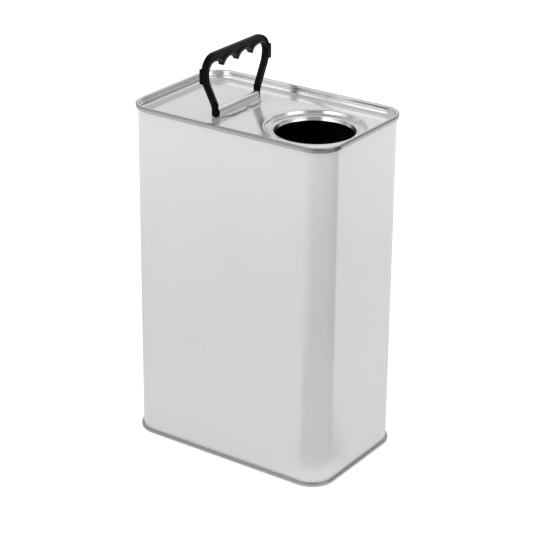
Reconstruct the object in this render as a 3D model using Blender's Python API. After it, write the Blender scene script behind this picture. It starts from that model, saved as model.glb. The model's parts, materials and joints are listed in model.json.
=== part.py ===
"""Rectangular tin can: a welded body, two double-seamed ends and a folding carry handle.

The can stands on its base seam at z = 0, centred on the origin, with its long side along X.
The round mouth is near the +X end of the top, and the handle folds about a hinge along Y.
Everything is in metres. Each sheet is drawn as a centre line and given its thickness, and the
centre lines of the body and the ends hook into each other to make the two double seams.
"""

import math

import bmesh
import bpy
from mathutils import Vector

# The can: outside of the body wall, and the whole height from seam to seam.
BODY_WIDTH = 0.165
BODY_DEPTH = 0.102
BODY_CORNER = 0.017
CAN_HEIGHT = 0.255
SHEET = 0.0003

# Double seams. The gap is the room between two neighbouring layers of sheet.
TOP_SEAM_HEIGHT = 0.0034
TOP_SEAM_GAP = 0.00025
BASE_SEAM_HEIGHT = 0.0031
BASE_SEAM_GAP = 0.0002
COMPOUND_THICKNESS = 0.0003
CROWN_RADIUS = 0.0007

# The lap weld up the back of the body.
LAP_WIDTH = 0.0014
LAP_RISE = 0.00022
LAP_END_CLEARANCE = 0.0006

# The top end: a countersunk panel below the seam.
TOP_RECESS = 0.006
TOP_BEAD_DEPTH = 0.0037
TOP_BEAD_RISE = 0.0004
TOP_BEAD_HALF_HEIGHT = 0.00045
TOP_WALL_TAPER = 0.0005
TOP_FOOT_RADIUS = 0.0015

# The base end: a shallower recess with one stiffening step in its panel.
BASE_RECESS = 0.0042
BASE_FOOT_RADIUS = 0.001
BASE_STEP_INSET = 0.012
BASE_STEP_RUN = 0.0016
BASE_STEP_RISE = 0.001
BASE_STEP_CORNER = 0.011

# The mouth, which takes a push-in closure.
MOUTH_RADIUS = 0.0285
MOUTH_LEDGE = 0.00775
MOUTH_END_MARGIN = 0.00575
MOUTH_RING_DEPTH = 0.0028
MOUTH_SHOULDER_RADIUS = 0.001
MOUTH_FILLET_RADIUS = 0.0007
MOUTH_WALL_TAPER = 12.0
MOUTH_LIP_RADIUS = 0.0007
MOUTH_LIP_RISE = 0.00045
MOUTH_SKIRT = 0.0024

# The handle's bracket: a strap rolled into a tube, with both ends laid flat as a flange.
BRACKET_X = -0.026
BRACKET_LENGTH = 0.0474
BRACKET_SHEET = 0.00035
BRACKET_TUBE_RADIUS = 0.0032
BRACKET_SEAT_GAP = 0.0003
BRACKET_LAYER_GAP = 0.00012
BRACKET_FLANGE = 0.0084
BRACKET_FOLD_RADIUS = 0.0005
BRACKET_FOLD_ANGLE = -15.0
FLANGE_END_RELIEF = 0.0012
FLANGE_CORNER_DEPTH = 0.0036
FLANGE_CORNER_RUN = 0.011
FLANGE_NOTCH_DEPTH = 0.0028
FLANGE_NOTCH_HALF_WIDTH = 0.0034
FLANGE_NOTCH_PLACE_SHARE = 0.6
FLANGE_WAVE = 0.00016
FLANGE_WAVES = 7

# The handle. Heights are above the hinge axis, and half sizes are from the middle of the grip.
HANDLE_LEAN = -0.5
HANDLE_HEIGHT = 0.0435
HANDLE_THICKNESS = 0.0044
HANDLE_WEB = 0.0018
HANDLE_OUTER_RIM = 0.0008
HANDLE_INNER_RIM = 0.0012
HANDLE_RIM_SLOPE = 0.0003
HANDLE_CHAMFER = 0.0004
FINGER_PITCH = 0.0171
GRIP_DEPTH = 0.0063
TOOTH_DEPTH = 0.0048
TOOTH_HALF_TIP = 0.0006
TOOTH_NOSE = 0.0002
SHOULDER_RADIUS = 0.0125
LEG_OUTER = 0.0382
LEG_WIDTH = 0.0042
LEG_FOOT_WIDTH = 0.0034
LEG_BOW_SHARE = 0.28
FOOT_BEND_SHARE = 0.2
FOOT_TOP = 0.0005
FOOT_THICKNESS = 0.0021
FOOT_RADIUS = 0.003
FOOT_FACE_RISE = 0.00015
LEG_END_STEP = 0.0003
FOOT_SIDE_GAP = 0.0003
FOOT_INNER_CLEARANCE = 0.0034
PEG_LENGTH = 0.0095
PEG_CLEARANCE = 0.0008
LUG_DROP = 0.0091
LUG_HEIGHT = 0.0106
LUG_PROUD = 0.0013
LUG_DEPTH = 0.0048
LUG_FACE_RISE = 0.00025
LUG_BEVEL = 0.0004

# One short overlap serves every joined piece.
OVERLAP = 0.0005

# How finely the curves are cut.
CORNER_STEPS = 8
BEND_STEPS = 4
MOUTH_STEPS = 48
TUBE_STEPS = 16
PEG_STEPS = 20
SCALLOP_STEPS = 6
SHOULDER_STEPS = 8
FLANGE_STEPS = 24
SMOOTH_ANGLE = 35.0


def clear_scene():
    """Removes every object of the open file."""
    for old in list(bpy.data.objects):
        bpy.data.objects.remove(old, do_unlink=True)


def material(name, colour, metallic, roughness):
    """A Principled material in one colour."""
    made = bpy.data.materials.new(name)
    made.use_nodes = True
    shader = made.node_tree.nodes["Principled BSDF"]
    shader.inputs["Base Color"].default_value = (*colour, 1.0)
    shader.inputs["Metallic"].default_value = metallic
    shader.inputs["Roughness"].default_value = roughness
    made.diffuse_color = (*colour, 1.0)
    return made


def add_object(name, mesh_data, finish=None):
    """Ends a bmesh as a named object, with its faces out and its round faces shaded smooth."""
    bmesh.ops.recalc_face_normals(mesh_data, faces=mesh_data.faces)
    mesh = bpy.data.meshes.new(name)
    mesh_data.to_mesh(mesh)
    mesh_data.free()
    mesh.shade_smooth()
    mesh.set_sharp_from_angle(angle=math.radians(SMOOTH_ANGLE))
    made = bpy.data.objects.new(name, mesh)
    bpy.context.scene.collection.objects.link(made)
    if finish:
        mesh.materials.append(finish)
    return made


def combine(target, helper, operation):
    """Joins a hidden helper to the target, or cuts it out, and keeps it at the target's own origin."""
    helper.parent = target
    helper.hide_render = True
    helper.display_type = "WIRE"
    boolean = target.modifiers.new(helper.name, "BOOLEAN")
    boolean.operation = operation
    boolean.solver = "EXACT"
    boolean.object = helper


def arc(centre, radius, start, end, steps=BEND_STEPS):
    """Points on an arc about centre, from one angle to the other in degrees, both ends included."""
    turns = [math.radians(start + (end - start) * i / steps) for i in range(steps + 1)]
    return [(centre[0] + radius * math.cos(t), centre[1] + radius * math.sin(t)) for t in turns]


def offset_path(path, distance):
    """The path moved to its left by a distance, with mitred corners."""
    points = [Vector(p) for p in path]
    steps = [(b - a).normalized() for a, b in zip(points, points[1:])]
    moved = []
    for i, point in enumerate(points):
        before = steps[max(i - 1, 0)]
        after = steps[min(i, len(steps) - 1)]
        left = Vector((-before.y - after.y, before.x + after.x)).normalized()
        stretch = left.dot(Vector((-before.y, before.x)))
        moved.append(tuple(point + left * (distance / stretch)))
    return moved


def sheet_skins(path, thickness):
    """The two skins of a sheet whose centre line is path: its left side and its right side."""
    return offset_path(path, thickness / 2), offset_path(path, -thickness / 2)


def can_ring(outward, height, corner=None):
    """Points round the can at a distance outward from the body's outside, anticlockwise from above."""
    radius = BODY_CORNER + outward if corner is None else corner
    reach_x = BODY_WIDTH / 2 + outward - radius
    reach_y = BODY_DEPTH / 2 + outward - radius
    ring = []
    for quarter, (side_x, side_y) in enumerate(((1, 1), (-1, 1), (-1, -1), (1, -1))):
        start = 90 * quarter
        centre = (side_x * reach_x, side_y * reach_y)
        ring += [(x, y, height) for x, y in arc(centre, radius, start, start + 90, CORNER_STEPS)]
    return ring


def mouth_ring(radius, height):
    """Points round the mouth, anticlockwise from above. Its ring keeps a margin to the can's +X end."""
    centre = BODY_WIDTH / 2 - MOUTH_END_MARGIN - MOUTH_LEDGE - MOUTH_RADIUS
    turns = [2 * math.pi * i / MOUTH_STEPS for i in range(MOUTH_STEPS)]
    return [(centre + radius * math.cos(t), radius * math.sin(t), height) for t in turns]


def add_rings(mesh_data, rings, closed=False):
    """Lofts closed rings of equal count into a skin, and returns the rings' vertices."""
    made = [[mesh_data.verts.new(point) for point in ring] for ring in rings]
    pairs = list(zip(made, made[1:] + made[:1])) if closed else list(zip(made, made[1:]))
    for low, high in pairs:
        count = len(low)
        for i in range(count):
            j = (i + 1) % count
            mesh_data.faces.new((low[i], low[j], high[j], high[i]))
    return made


def bridge(mesh_data, first, second):
    """Joins two rings of equal count with one band of faces."""
    count = len(first)
    for i in range(count):
        j = (i + 1) % count
        mesh_data.faces.new((first[i], first[j], second[j], second[i]))


def ring_edges(mesh_data, ring):
    """The edges between neighbouring vertices of a closed ring."""
    return [mesh_data.edges.get((a, b)) for a, b in zip(ring, ring[1:] + ring[:1])]


def seam_layers(gap):
    """Centre lines of the five seam layers, as distances outward from the body's outside."""
    pitch = SHEET + gap
    wall = -SHEET / 2
    return {
        "chuck": wall - pitch,
        "body": wall,
        "cover_hook": wall + pitch,
        "body_hook": wall + 2 * pitch,
        "outside": wall + 3 * pitch,
    }


def seam_levels(height, gap):
    """Depths below the seam's crown of its layers' centre lines and tips."""
    pitch = SHEET + gap
    body_crown = SHEET / 2 + gap + COMPOUND_THICKNESS + pitch
    foot = height - SHEET / 2
    return {
        "body_crown": body_crown,
        "cover_tip": body_crown + SHEET / 2 + gap,
        "foot": foot,
        "body_tip": foot - SHEET / 2 - gap,
    }


def end_seam_path(height, gap):
    """Centre line of an end's edge as (outward, depth below the crown), from its hook to its chuck wall."""
    layers, levels = seam_layers(gap), seam_levels(height, gap)
    turn = (layers["outside"] - layers["cover_hook"]) / 2
    middle = (layers["cover_hook"], levels["foot"] - turn)
    path = [(layers["cover_hook"], levels["cover_tip"])]
    path += arc((middle[0] + turn, middle[1]), turn, 180, 0)
    top = SHEET / 2 + CROWN_RADIUS
    path += arc((layers["outside"] - CROWN_RADIUS, top), CROWN_RADIUS, 0, -90)
    path += arc((layers["chuck"] + CROWN_RADIUS, top), CROWN_RADIUS, -90, -180)
    return path


def body_hook_path(height, gap):
    """Centre line of the body's hook as (outward, depth below the crown), from the wall to its tip."""
    layers, levels = seam_layers(gap), seam_levels(height, gap)
    turn = (layers["body_hook"] - layers["body"]) / 2
    centre = (layers["body"] + turn, levels["body_crown"] + turn)
    return arc(centre, turn, -180, 0) + [(layers["body_hook"], levels["body_tip"])]


def compound_rings(height, gap, level):
    """The four rings of a seam's lining compound. level turns a depth into a height."""
    layers = seam_layers(gap)
    low = layers["body"]
    high = layers["body_hook"]
    near = SHEET + gap
    far = near + COMPOUND_THICKNESS
    corners = ((low, near), (high, near), (high, far), (low, far))
    return [can_ring(outward, level(depth)) for outward, depth in corners]


def from_top(depth):
    """Height of a point at a depth below the top seam's crown."""
    return CAN_HEIGHT - depth


def from_base(depth):
    """Height of a point at a depth above the base seam's foot."""
    return depth


def make_body(finish):
    """The body: a rolled and lap-welded sheet, hooked outward at both ends."""
    top = [(n, from_top(d)) for n, d in body_hook_path(TOP_SEAM_HEIGHT, TOP_SEAM_GAP)]
    base = [(n, from_base(d)) for n, d in body_hook_path(BASE_SEAM_HEIGHT, BASE_SEAM_GAP)]
    path = list(reversed(base)) + top
    left, right = sheet_skins(path, SHEET)
    section = left + list(reversed(right))
    mesh_data = bmesh.new()
    add_rings(mesh_data, [can_ring(n, z) for n, z in section], closed=True)
    body = add_object("body_shell", mesh_data, finish)

    lap = bmesh.new()
    low = BASE_SEAM_HEIGHT + LAP_END_CLEARANCE
    high = CAN_HEIGHT - TOP_SEAM_HEIGHT - LAP_END_CLEARANCE
    back = BODY_DEPTH / 2
    half = LAP_WIDTH / 2
    edges = (
        (half + LAP_RISE, back - SHEET / 2),
        (half, back + LAP_RISE),
        (-half, back + LAP_RISE),
        (-half - LAP_RISE, back - SHEET / 2),
    )
    rings = [[(x, y, z) for x, y in edges] for z in (low, high)]
    made = add_rings(lap, rings)
    lap.faces.new(list(reversed(made[0])))
    lap.faces.new(made[1])
    combine(body, add_object("lap_weld", lap), "UNION")
    return body


def top_wall_path():
    """Centre line of the top end below its seam, as (outward, depth), down to the flat panel."""
    wall = seam_layers(TOP_SEAM_GAP)["chuck"]
    inner = wall - TOP_BEAD_RISE
    foot = wall - TOP_WALL_TAPER
    panel = TOP_RECESS + SHEET / 2
    path = [
        (wall, TOP_BEAD_DEPTH - TOP_BEAD_HALF_HEIGHT),
        (inner, TOP_BEAD_DEPTH),
        (wall - TOP_BEAD_RISE / 2, TOP_BEAD_DEPTH + TOP_BEAD_HALF_HEIGHT),
    ]
    centre = (foot - TOP_FOOT_RADIUS, panel - TOP_FOOT_RADIUS)
    return path + arc(centre, TOP_FOOT_RADIUS, 0, 90)


def mouth_path():
    """Centre line of the mouth as (radius, depth below the crown), from the panel to the skirt's end."""
    panel = TOP_RECESS + SHEET / 2
    floor = panel + MOUTH_RING_DEPTH
    lean = 90 - MOUTH_WALL_TAPER
    shoulder = (MOUTH_RADIUS + MOUTH_LEDGE, panel + MOUTH_SHOULDER_RADIUS)
    path = arc(shoulder, MOUTH_SHOULDER_RADIUS, -90, -90 - lean)
    drop = floor - MOUTH_FILLET_RADIUS * (1 - math.cos(math.radians(lean))) - path[-1][1]
    run = drop * math.tan(math.radians(MOUTH_WALL_TAPER))
    start = path[-1][0] - run
    centre_r = start - MOUTH_FILLET_RADIUS * math.sin(math.radians(lean))
    path += arc((centre_r, floor - MOUTH_FILLET_RADIUS), MOUTH_FILLET_RADIUS, 90 - lean, 90)
    lip_r = MOUTH_RADIUS + SHEET / 2 + MOUTH_LIP_RADIUS
    lip_depth = floor - MOUTH_LIP_RISE + MOUTH_LIP_RADIUS
    rise = math.degrees(math.asin((lip_depth - floor) / MOUTH_LIP_RADIUS))
    path += arc((lip_r, lip_depth), MOUTH_LIP_RADIUS, -rise, -180)
    return path + [(lip_r - MOUTH_LIP_RADIUS, floor + MOUTH_SKIRT)]


def make_top(finish):
    """The top end: hook, crown and chuck wall, a countersunk panel, and the recessed mouth."""
    edge = end_seam_path(TOP_SEAM_HEIGHT, TOP_SEAM_GAP) + top_wall_path()
    edge_skins = sheet_skins([(n, from_top(d)) for n, d in edge], SHEET)
    mouth_skins = sheet_skins([(r, from_top(d)) for r, d in mouth_path()], SHEET)
    mesh_data = bmesh.new()
    edges, mouths = [], []
    for edge_skin, mouth_skin in zip(edge_skins, mouth_skins):
        edges.append(add_rings(mesh_data, [can_ring(n, z) for n, z in edge_skin]))
        mouths.append(add_rings(mesh_data, [mouth_ring(r, z) for r, z in mouth_skin]))
    bridge(mesh_data, edges[0][0], edges[1][0])
    bridge(mesh_data, mouths[0][-1], mouths[1][-1])
    for edge_rings, mouth_rings in zip(edges, mouths):
        border = ring_edges(mesh_data, edge_rings[-1]) + ring_edges(mesh_data, mouth_rings[0])
        bmesh.ops.triangle_fill(mesh_data, use_beauty=True, edges=border)
    return add_object("top_end", mesh_data, finish)


def base_wall_rings():
    """Centre line of the base end inside its seam, as (outward, depth, corner radius)."""
    wall = seam_layers(BASE_SEAM_GAP)["chuck"]
    panel = BASE_RECESS + SHEET / 2
    centre = (wall - BASE_FOOT_RADIUS, panel - BASE_FOOT_RADIUS)
    return arc(centre, BASE_FOOT_RADIUS, 0, 90)


def make_base(finish):
    """The base end: the same seam turned over, and a panel with one stiffening step."""
    edge = end_seam_path(BASE_SEAM_HEIGHT, BASE_SEAM_GAP) + base_wall_rings()
    panel = BASE_RECESS + SHEET / 2
    mesh_data = bmesh.new()
    skins = []
    for skin in sheet_skins([(n, from_base(d)) for n, d in edge], SHEET):
        side = skin[-1][1] - panel
        rings = [can_ring(n, z) for n, z in skin]
        rings.append(can_ring(-BASE_STEP_INSET, panel + side, BASE_STEP_CORNER))
        inner = -BASE_STEP_INSET - BASE_STEP_RUN
        step_corner = BASE_STEP_CORNER - BASE_STEP_RUN
        rings.append(can_ring(inner, panel + BASE_STEP_RISE + side, step_corner))
        skins.append(add_rings(mesh_data, rings))
    bridge(mesh_data, skins[0][0], skins[1][0])
    for rings in skins:
        mesh_data.faces.new(rings[-1])
    return add_object("base_end", mesh_data, finish)


def make_compound(name, height, gap, level, finish):
    """The lining compound that seals a double seam, in the room under the end's crown."""
    mesh_data = bmesh.new()
    add_rings(mesh_data, compound_rings(height, gap, level), closed=True)
    return add_object(name, mesh_data, finish)


def hinge_height():
    """Height of the hinge axis: the middle of the bracket's tube, seated on the panel."""
    return from_top(TOP_RECESS) + BRACKET_SEAT_GAP + BRACKET_TUBE_RADIUS


def bracket_path():
    """Centre line of the rolled strap as (x, height) about the hinge axis, from its lower end to its upper."""
    turn = BRACKET_TUBE_RADIUS - BRACKET_SHEET / 2
    upper = -turn + BRACKET_SHEET + BRACKET_LAYER_GAP
    path = [(BRACKET_FLANGE, -turn)]
    path += arc((0, 0), turn, 270, BRACKET_FOLD_ANGLE, TUBE_STEPS)
    fall = path[-1][1] - upper
    slope = math.radians(-BRACKET_FOLD_ANGLE)
    dip = BRACKET_FOLD_RADIUS * (1 + math.sin(slope))
    run = (fall - dip) * math.tan(slope)
    fold_x = path[-1][0] - run + BRACKET_FOLD_RADIUS * math.cos(slope)
    path += arc(
        (fold_x, upper + BRACKET_FOLD_RADIUS),
        BRACKET_FOLD_RADIUS,
        180 - BRACKET_FOLD_ANGLE,
        270,
    )
    return path + [(BRACKET_FLANGE, upper)]


def flange_edge(along):
    """Reach of the flange's rough-cut edge from the hinge axis, at a distance along it from the front."""
    length = BRACKET_LENGTH - 2 * FLANGE_END_RELIEF
    corner = FLANGE_CORNER_DEPTH * max(1 - along / FLANGE_CORNER_RUN, 0) ** 2
    away = abs(along - FLANGE_NOTCH_PLACE_SHARE * length) / FLANGE_NOTCH_HALF_WIDTH
    notch = FLANGE_NOTCH_DEPTH * max(1 - away, 0)
    wave = FLANGE_WAVE * (1 + math.sin(2 * math.pi * FLANGE_WAVES * along / length))
    return BRACKET_FLANGE - corner - notch - wave


def make_flange_cutter():
    """A plate that trims the flange: it clears both ends beside the tube and cuts the rough edge."""
    length = BRACKET_LENGTH - 2 * FLANGE_END_RELIEF
    root = BRACKET_TUBE_RADIUS + BRACKET_FOLD_RADIUS
    end = length / 2
    clear = BRACKET_LENGTH / 2 + OVERLAP
    far = BRACKET_FLANGE + OVERLAP
    outline = [(root, -clear), (far, -clear), (far, clear), (root, clear), (root, end)]
    for i in range(FLANGE_STEPS + 1):
        along = length * (1 - i / FLANGE_STEPS)
        outline.append((flange_edge(along), along - end))
    outline.append((root, -end))
    low = -BRACKET_TUBE_RADIUS - OVERLAP
    mesh_data = bmesh.new()
    made = add_rings(mesh_data, [[(x, y, z) for x, y in outline] for z in (low, 0)])
    for ring in made:
        mesh_data.faces.new(ring)
    return add_object("flange_cutter", mesh_data)


def make_bracket(finish):
    """The handle's bracket: the strap's section drawn along the hinge, seated on the panel."""
    left, right = sheet_skins(bracket_path(), BRACKET_SHEET)
    section = left + list(reversed(right))
    half = BRACKET_LENGTH / 2
    mesh_data = bmesh.new()
    made = add_rings(mesh_data, [[(x, y, z) for x, z in section] for y in (-half, half)])
    for ring in made:
        mesh_data.faces.new(ring)
    bracket = add_object("handle_bracket", mesh_data, finish)
    combine(bracket, make_flange_cutter(), "DIFFERENCE")
    bracket.location = (BRACKET_X, 0, hinge_height())
    return bracket


def scallop_top():
    """Height of the crown of the scallops in the grip's underside."""
    return HANDLE_HEIGHT - GRIP_DEPTH


def scallop_height(across):
    """Height of the grip's underside at a distance across from its middle tooth."""
    pitch = FINGER_PITCH
    nearest = abs(across - pitch * round(across / pitch))
    if nearest < TOOTH_HALF_TIP:
        return scallop_top() - TOOTH_DEPTH + TOOTH_NOSE * (nearest / TOOTH_HALF_TIP) ** 2
    half = pitch / 2 - TOOTH_HALF_TIP
    depth = TOOTH_DEPTH - TOOTH_NOSE
    radius = (half**2 + depth**2) / (2 * depth)
    away = pitch / 2 - nearest
    return scallop_top() - radius + math.sqrt(radius**2 - away**2)


def foot_inner():
    """Distance of a foot's inner face from the middle of the grip."""
    return BRACKET_LENGTH / 2 + FOOT_SIDE_GAP


def leg_end():
    """Distance of a leg's outer edge at its foot, a step inside the foot's outer face."""
    return foot_inner() + FOOT_THICKNESS - LEG_END_STEP


def foot_inner_top():
    """Height at which a leg's inner edge ends, where its slanted end faces the bracket's tube."""
    return BRACKET_TUBE_RADIUS + FOOT_INNER_CLEARANCE


def leg_bends():
    """The slope of a leg's straight part in radians, and the radii of the bends above and below it.

    A share of zero draws the leg straight between its two ends, and a share of one draws it as two
    arcs with nothing straight between them.
    """
    across = LEG_OUTER - leg_end()
    fall = HANDLE_HEIGHT - SHOULDER_RADIUS - FOOT_TOP
    splay = math.atan2(across, fall) * (1 + LEG_BOW_SHARE)
    both = (fall * math.sin(splay) - across * math.cos(splay)) / (1 - math.cos(splay))
    return splay, both * (1 - FOOT_BEND_SHARE), both * FOOT_BEND_SHARE


def point_at_height(points, height):
    """The place where a falling line of points passes a height, or the line's last point."""
    for high, low in zip(points, points[1:]):
        if low.y <= height < high.y:
            return high.lerp(low, (high.y - height) / (high.y - low.y))
    return points[-1]


def grip_stations():
    """Pairs of points (top edge, underside) from the middle of the grip to its last scallop's crown."""
    middle = FINGER_PITCH / 2
    reach = middle - TOOTH_HALF_TIP
    across = [0.0, TOOTH_HALF_TIP]
    across += [
        TOOTH_HALF_TIP + reach * i / SCALLOP_STEPS for i in range(1, 2 * SCALLOP_STEPS + 1)
    ]
    across.append(FINGER_PITCH)
    stations = [((y, HANDLE_HEIGHT), (y, scallop_height(y))) for y in across]
    start = FINGER_PITCH + TOOTH_HALF_TIP
    span = LEG_OUTER - SHOULDER_RADIUS - start
    depth = TOOTH_DEPTH - TOOTH_NOSE
    for i in range(SCALLOP_STEPS):
        turn = math.pi / 2 * i / SCALLOP_STEPS
        y = start + span * (1 - math.cos(turn))
        stations.append(((y, HANDLE_HEIGHT), (y, scallop_top() - depth * (1 - math.sin(turn)))))
    return stations


def shoulder_stations():
    """Pairs of points (outer edge, inner edge) round the shoulder, from the grip to the leg's top."""
    centre = Vector((LEG_OUTER - SHOULDER_RADIUS, HANDLE_HEIGHT - SHOULDER_RADIUS))
    stations = []
    for i in range(SHOULDER_STEPS + 1):
        share = i / SHOULDER_STEPS
        angle = math.pi / 2 * (1 - share)
        ray = Vector((math.cos(angle), math.sin(angle)))
        width = GRIP_DEPTH + (LEG_WIDTH - GRIP_DEPTH) * share
        outer = centre + ray * SHOULDER_RADIUS
        stations.append((outer, outer - ray * width))
    return stations


def leg_stations():
    """Pairs of points (outer edge, inner edge) down a leg, which narrows, bows and ends in a slant."""
    splay, leg_radius, foot_radius = leg_bends()
    leg_centre = Vector((LEG_OUTER - leg_radius, HANDLE_HEIGHT - SHOULDER_RADIUS))
    foot_outer = Vector((leg_end(), FOOT_TOP))
    foot_centre = foot_outer + Vector((foot_radius, 0))
    rays = [(leg_centre, leg_radius, i / BEND_STEPS) for i in range(1, BEND_STEPS + 1)]
    rays += [(foot_centre, -foot_radius, 1 - i / BEND_STEPS) for i in range(BEND_STEPS + 1)]
    stations = []
    for i, (centre, radius, share) in enumerate(rays, start=1):
        ray = Vector((math.cos(splay * share), -math.sin(splay * share)))
        width = LEG_WIDTH + (LEG_FOOT_WIDTH - LEG_WIDTH) * i / len(rays)
        outer = centre + ray * radius
        stations.append((outer, outer - ray * width))
    end = point_at_height([inner for _, inner in stations], foot_inner_top())
    return [pair for pair in stations if pair[1].y > end.y] + [(foot_outer, end)]


def handle_section(outer, inner):
    """The I section between an outer and an inner edge point, as points (x, y, up)."""
    outer, inner = Vector(outer), Vector(inner)
    inward = (inner - outer).normalized()
    face = HANDLE_THICKNESS / 2
    web = HANDLE_WEB / 2
    half = [
        (outer, face - HANDLE_CHAMFER),
        (outer + inward * HANDLE_CHAMFER, face),
        (outer + inward * HANDLE_OUTER_RIM, face),
        (outer + inward * (HANDLE_OUTER_RIM + HANDLE_RIM_SLOPE), web),
        (inner - inward * (HANDLE_INNER_RIM + HANDLE_RIM_SLOPE), web),
        (inner - inward * HANDLE_INNER_RIM, face),
        (inner - inward * HANDLE_CHAMFER, face),
        (inner, face - HANDLE_CHAMFER),
    ]
    front = [(x, p.x, p.y) for p, x in half]
    back = [(-x, p.x, p.y) for p, x in reversed(half)]
    return front + back


def make_foot(name, side):
    """The flat tongue that a leg ends in, a little wider than the leg and round at its lower end."""
    face = HANDLE_THICKNESS / 2 + FOOT_FACE_RISE
    turn = math.degrees(math.acos(min(face / FOOT_RADIUS, 1)))
    outline = arc((0, 0), FOOT_RADIUS, 180 + turn, 360 - turn, TUBE_STEPS // 2)
    outline += [(face, foot_inner_top()), (-face, foot_inner_top())]
    near = foot_inner()
    far = near + FOOT_THICKNESS
    mesh_data = bmesh.new()
    made = add_rings(mesh_data, [[(x, side * y, z) for x, z in outline] for y in (near, far)])
    for ring in made:
        mesh_data.faces.new(ring)
    return add_object(name, mesh_data)


def make_peg(name, side):
    """The round peg on a foot's inner face, which turns inside the bracket's tube."""
    radius = BRACKET_TUBE_RADIUS - BRACKET_SHEET - PEG_CLEARANCE
    turns = [2 * math.pi * i / PEG_STEPS for i in range(PEG_STEPS)]
    ends = (foot_inner() + FOOT_THICKNESS / 2, foot_inner() - PEG_LENGTH)
    mesh_data = bmesh.new()
    made = add_rings(
        mesh_data,
        [[(radius * math.cos(t), side * y, radius * math.sin(t)) for t in turns] for y in ends],
    )
    for ring in made:
        mesh_data.faces.new(ring)
    return add_object(name, mesh_data)


def make_lug(name, side):
    """The block on the outside of a leg."""
    outer = LEG_OUTER + LUG_PROUD
    mesh_data = bmesh.new()
    bmesh.ops.create_cube(mesh_data, size=1.0)
    size = (HANDLE_THICKNESS + 2 * LUG_FACE_RISE, LUG_DEPTH, LUG_HEIGHT)
    bmesh.ops.scale(mesh_data, vec=size, verts=mesh_data.verts)
    middle = (0, side * (outer - LUG_DEPTH / 2), HANDLE_HEIGHT - LUG_DROP - LUG_HEIGHT / 2)
    bmesh.ops.translate(mesh_data, vec=middle, verts=mesh_data.verts)
    bmesh.ops.bevel(
        mesh_data, geom=mesh_data.edges[:], offset=LUG_BEVEL, segments=1, affect="EDGES"
    )
    return add_object(name, mesh_data)


def make_handle(finish):
    """The moulded handle, with its origin on the hinge axis and its grip leaning a little to -X."""
    side = shoulder_stations() + leg_stations()
    half = grip_stations() + [(tuple(o), tuple(i)) for o, i in side]
    other = [((-o[0], o[1]), (-i[0], i[1])) for o, i in half[:0:-1]]
    rings = [handle_section(outer, inner) for outer, inner in other + half]
    mesh_data = bmesh.new()
    made = add_rings(mesh_data, rings)
    mesh_data.faces.new(made[0])
    mesh_data.faces.new(made[-1])
    handle = add_object("carry_handle", mesh_data, finish)
    for side, word in ((-1, "front"), (1, "back")):
        combine(handle, make_foot(f"{word}_foot", side), "UNION")
        combine(handle, make_peg(f"{word}_peg", side), "UNION")
        combine(handle, make_lug(f"{word}_lug", side), "UNION")
    handle.location = (BRACKET_X, 0, hinge_height())
    handle.rotation_euler = (0, math.radians(HANDLE_LEAN), 0)
    return handle


def main():
    clear_scene()
    lacquer = material("white_lacquer", (0.72, 0.72, 0.72), 0.0, 0.35)
    tinplate = material("tinplate", (0.66, 0.67, 0.68), 1.0, 0.28)
    strap = material("bracket_tinplate", (0.7, 0.7, 0.71), 1.0, 0.22)
    compound = material("seam_compound", (0.55, 0.52, 0.42), 0.0, 0.7)
    plastic = material("black_plastic", (0.012, 0.012, 0.012), 0.0, 0.38)
    make_body(lacquer)
    make_top(tinplate)
    make_base(tinplate)
    make_compound("top_seam_compound", TOP_SEAM_HEIGHT, TOP_SEAM_GAP, from_top, compound)
    make_compound("base_seam_compound", BASE_SEAM_HEIGHT, BASE_SEAM_GAP, from_base, compound)
    make_bracket(strap)
    make_handle(plastic)


main()
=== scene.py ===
"""Rectangular tin can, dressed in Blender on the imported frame.

The file is laid out as an add-on. One operator makes each piece from the sizes in its property
group, and main() runs them in order. Every piece is a surface of two parameters, or a section
carried along a path, worked out as whole numpy arrays. Lengths are in metres.
"""

import json
import math

import bpy
import numpy as np
from bpy.props import FloatProperty, FloatVectorProperty, PointerProperty
from bpy.types import Operator, Panel, PropertyGroup
from mathutils import Matrix, Vector


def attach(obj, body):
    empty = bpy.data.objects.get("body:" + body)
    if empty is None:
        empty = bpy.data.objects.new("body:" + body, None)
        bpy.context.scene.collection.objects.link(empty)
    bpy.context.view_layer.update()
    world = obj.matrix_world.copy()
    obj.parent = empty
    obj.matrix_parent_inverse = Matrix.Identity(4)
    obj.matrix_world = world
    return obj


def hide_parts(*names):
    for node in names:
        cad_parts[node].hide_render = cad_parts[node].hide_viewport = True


bl_info = {
    "name": "Rectangular Tin Can",
    "version": (1, 0, 0),
    "blender": (4, 5, 0),
    "location": "3D View > Sidebar > Tin Can",
    "description": "Makes a double-seamed rectangular can with a folding carry handle",
    "category": "Object",
}

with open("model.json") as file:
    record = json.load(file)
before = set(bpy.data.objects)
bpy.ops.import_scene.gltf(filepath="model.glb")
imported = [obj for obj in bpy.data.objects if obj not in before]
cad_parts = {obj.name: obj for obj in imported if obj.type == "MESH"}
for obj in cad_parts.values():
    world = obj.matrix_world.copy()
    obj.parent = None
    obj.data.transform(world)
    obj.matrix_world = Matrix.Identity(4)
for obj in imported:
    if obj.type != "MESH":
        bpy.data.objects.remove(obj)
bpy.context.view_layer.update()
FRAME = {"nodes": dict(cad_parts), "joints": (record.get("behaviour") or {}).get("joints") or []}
HINGE = next(j["pos_m"] for j in FRAME["joints"] if j["name"] == "handle_fold")

# An edge whose faces turn by more degrees than this is shaded sharp.
SHARP = 50
# How far the seaming roll draws in the middle of a seam, and each dent's place, size and depth.
SEAM_WAIST = 0.00005
DENTS = ((0.0825, 0.004, 0.052, 0.004, 0.00012), (-0.02, -0.051, 0.1, 0.009, 0.00007))
# Rubbing by the tools, 0 to 1, on the walls, and past it a painted shade that darkens a seam's
# outside, less below a share of its height.
WALL_RUB = 0.3
LOWER_SEAM_SHADE = 0.76
SEAM_BAND = 0.38
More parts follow.
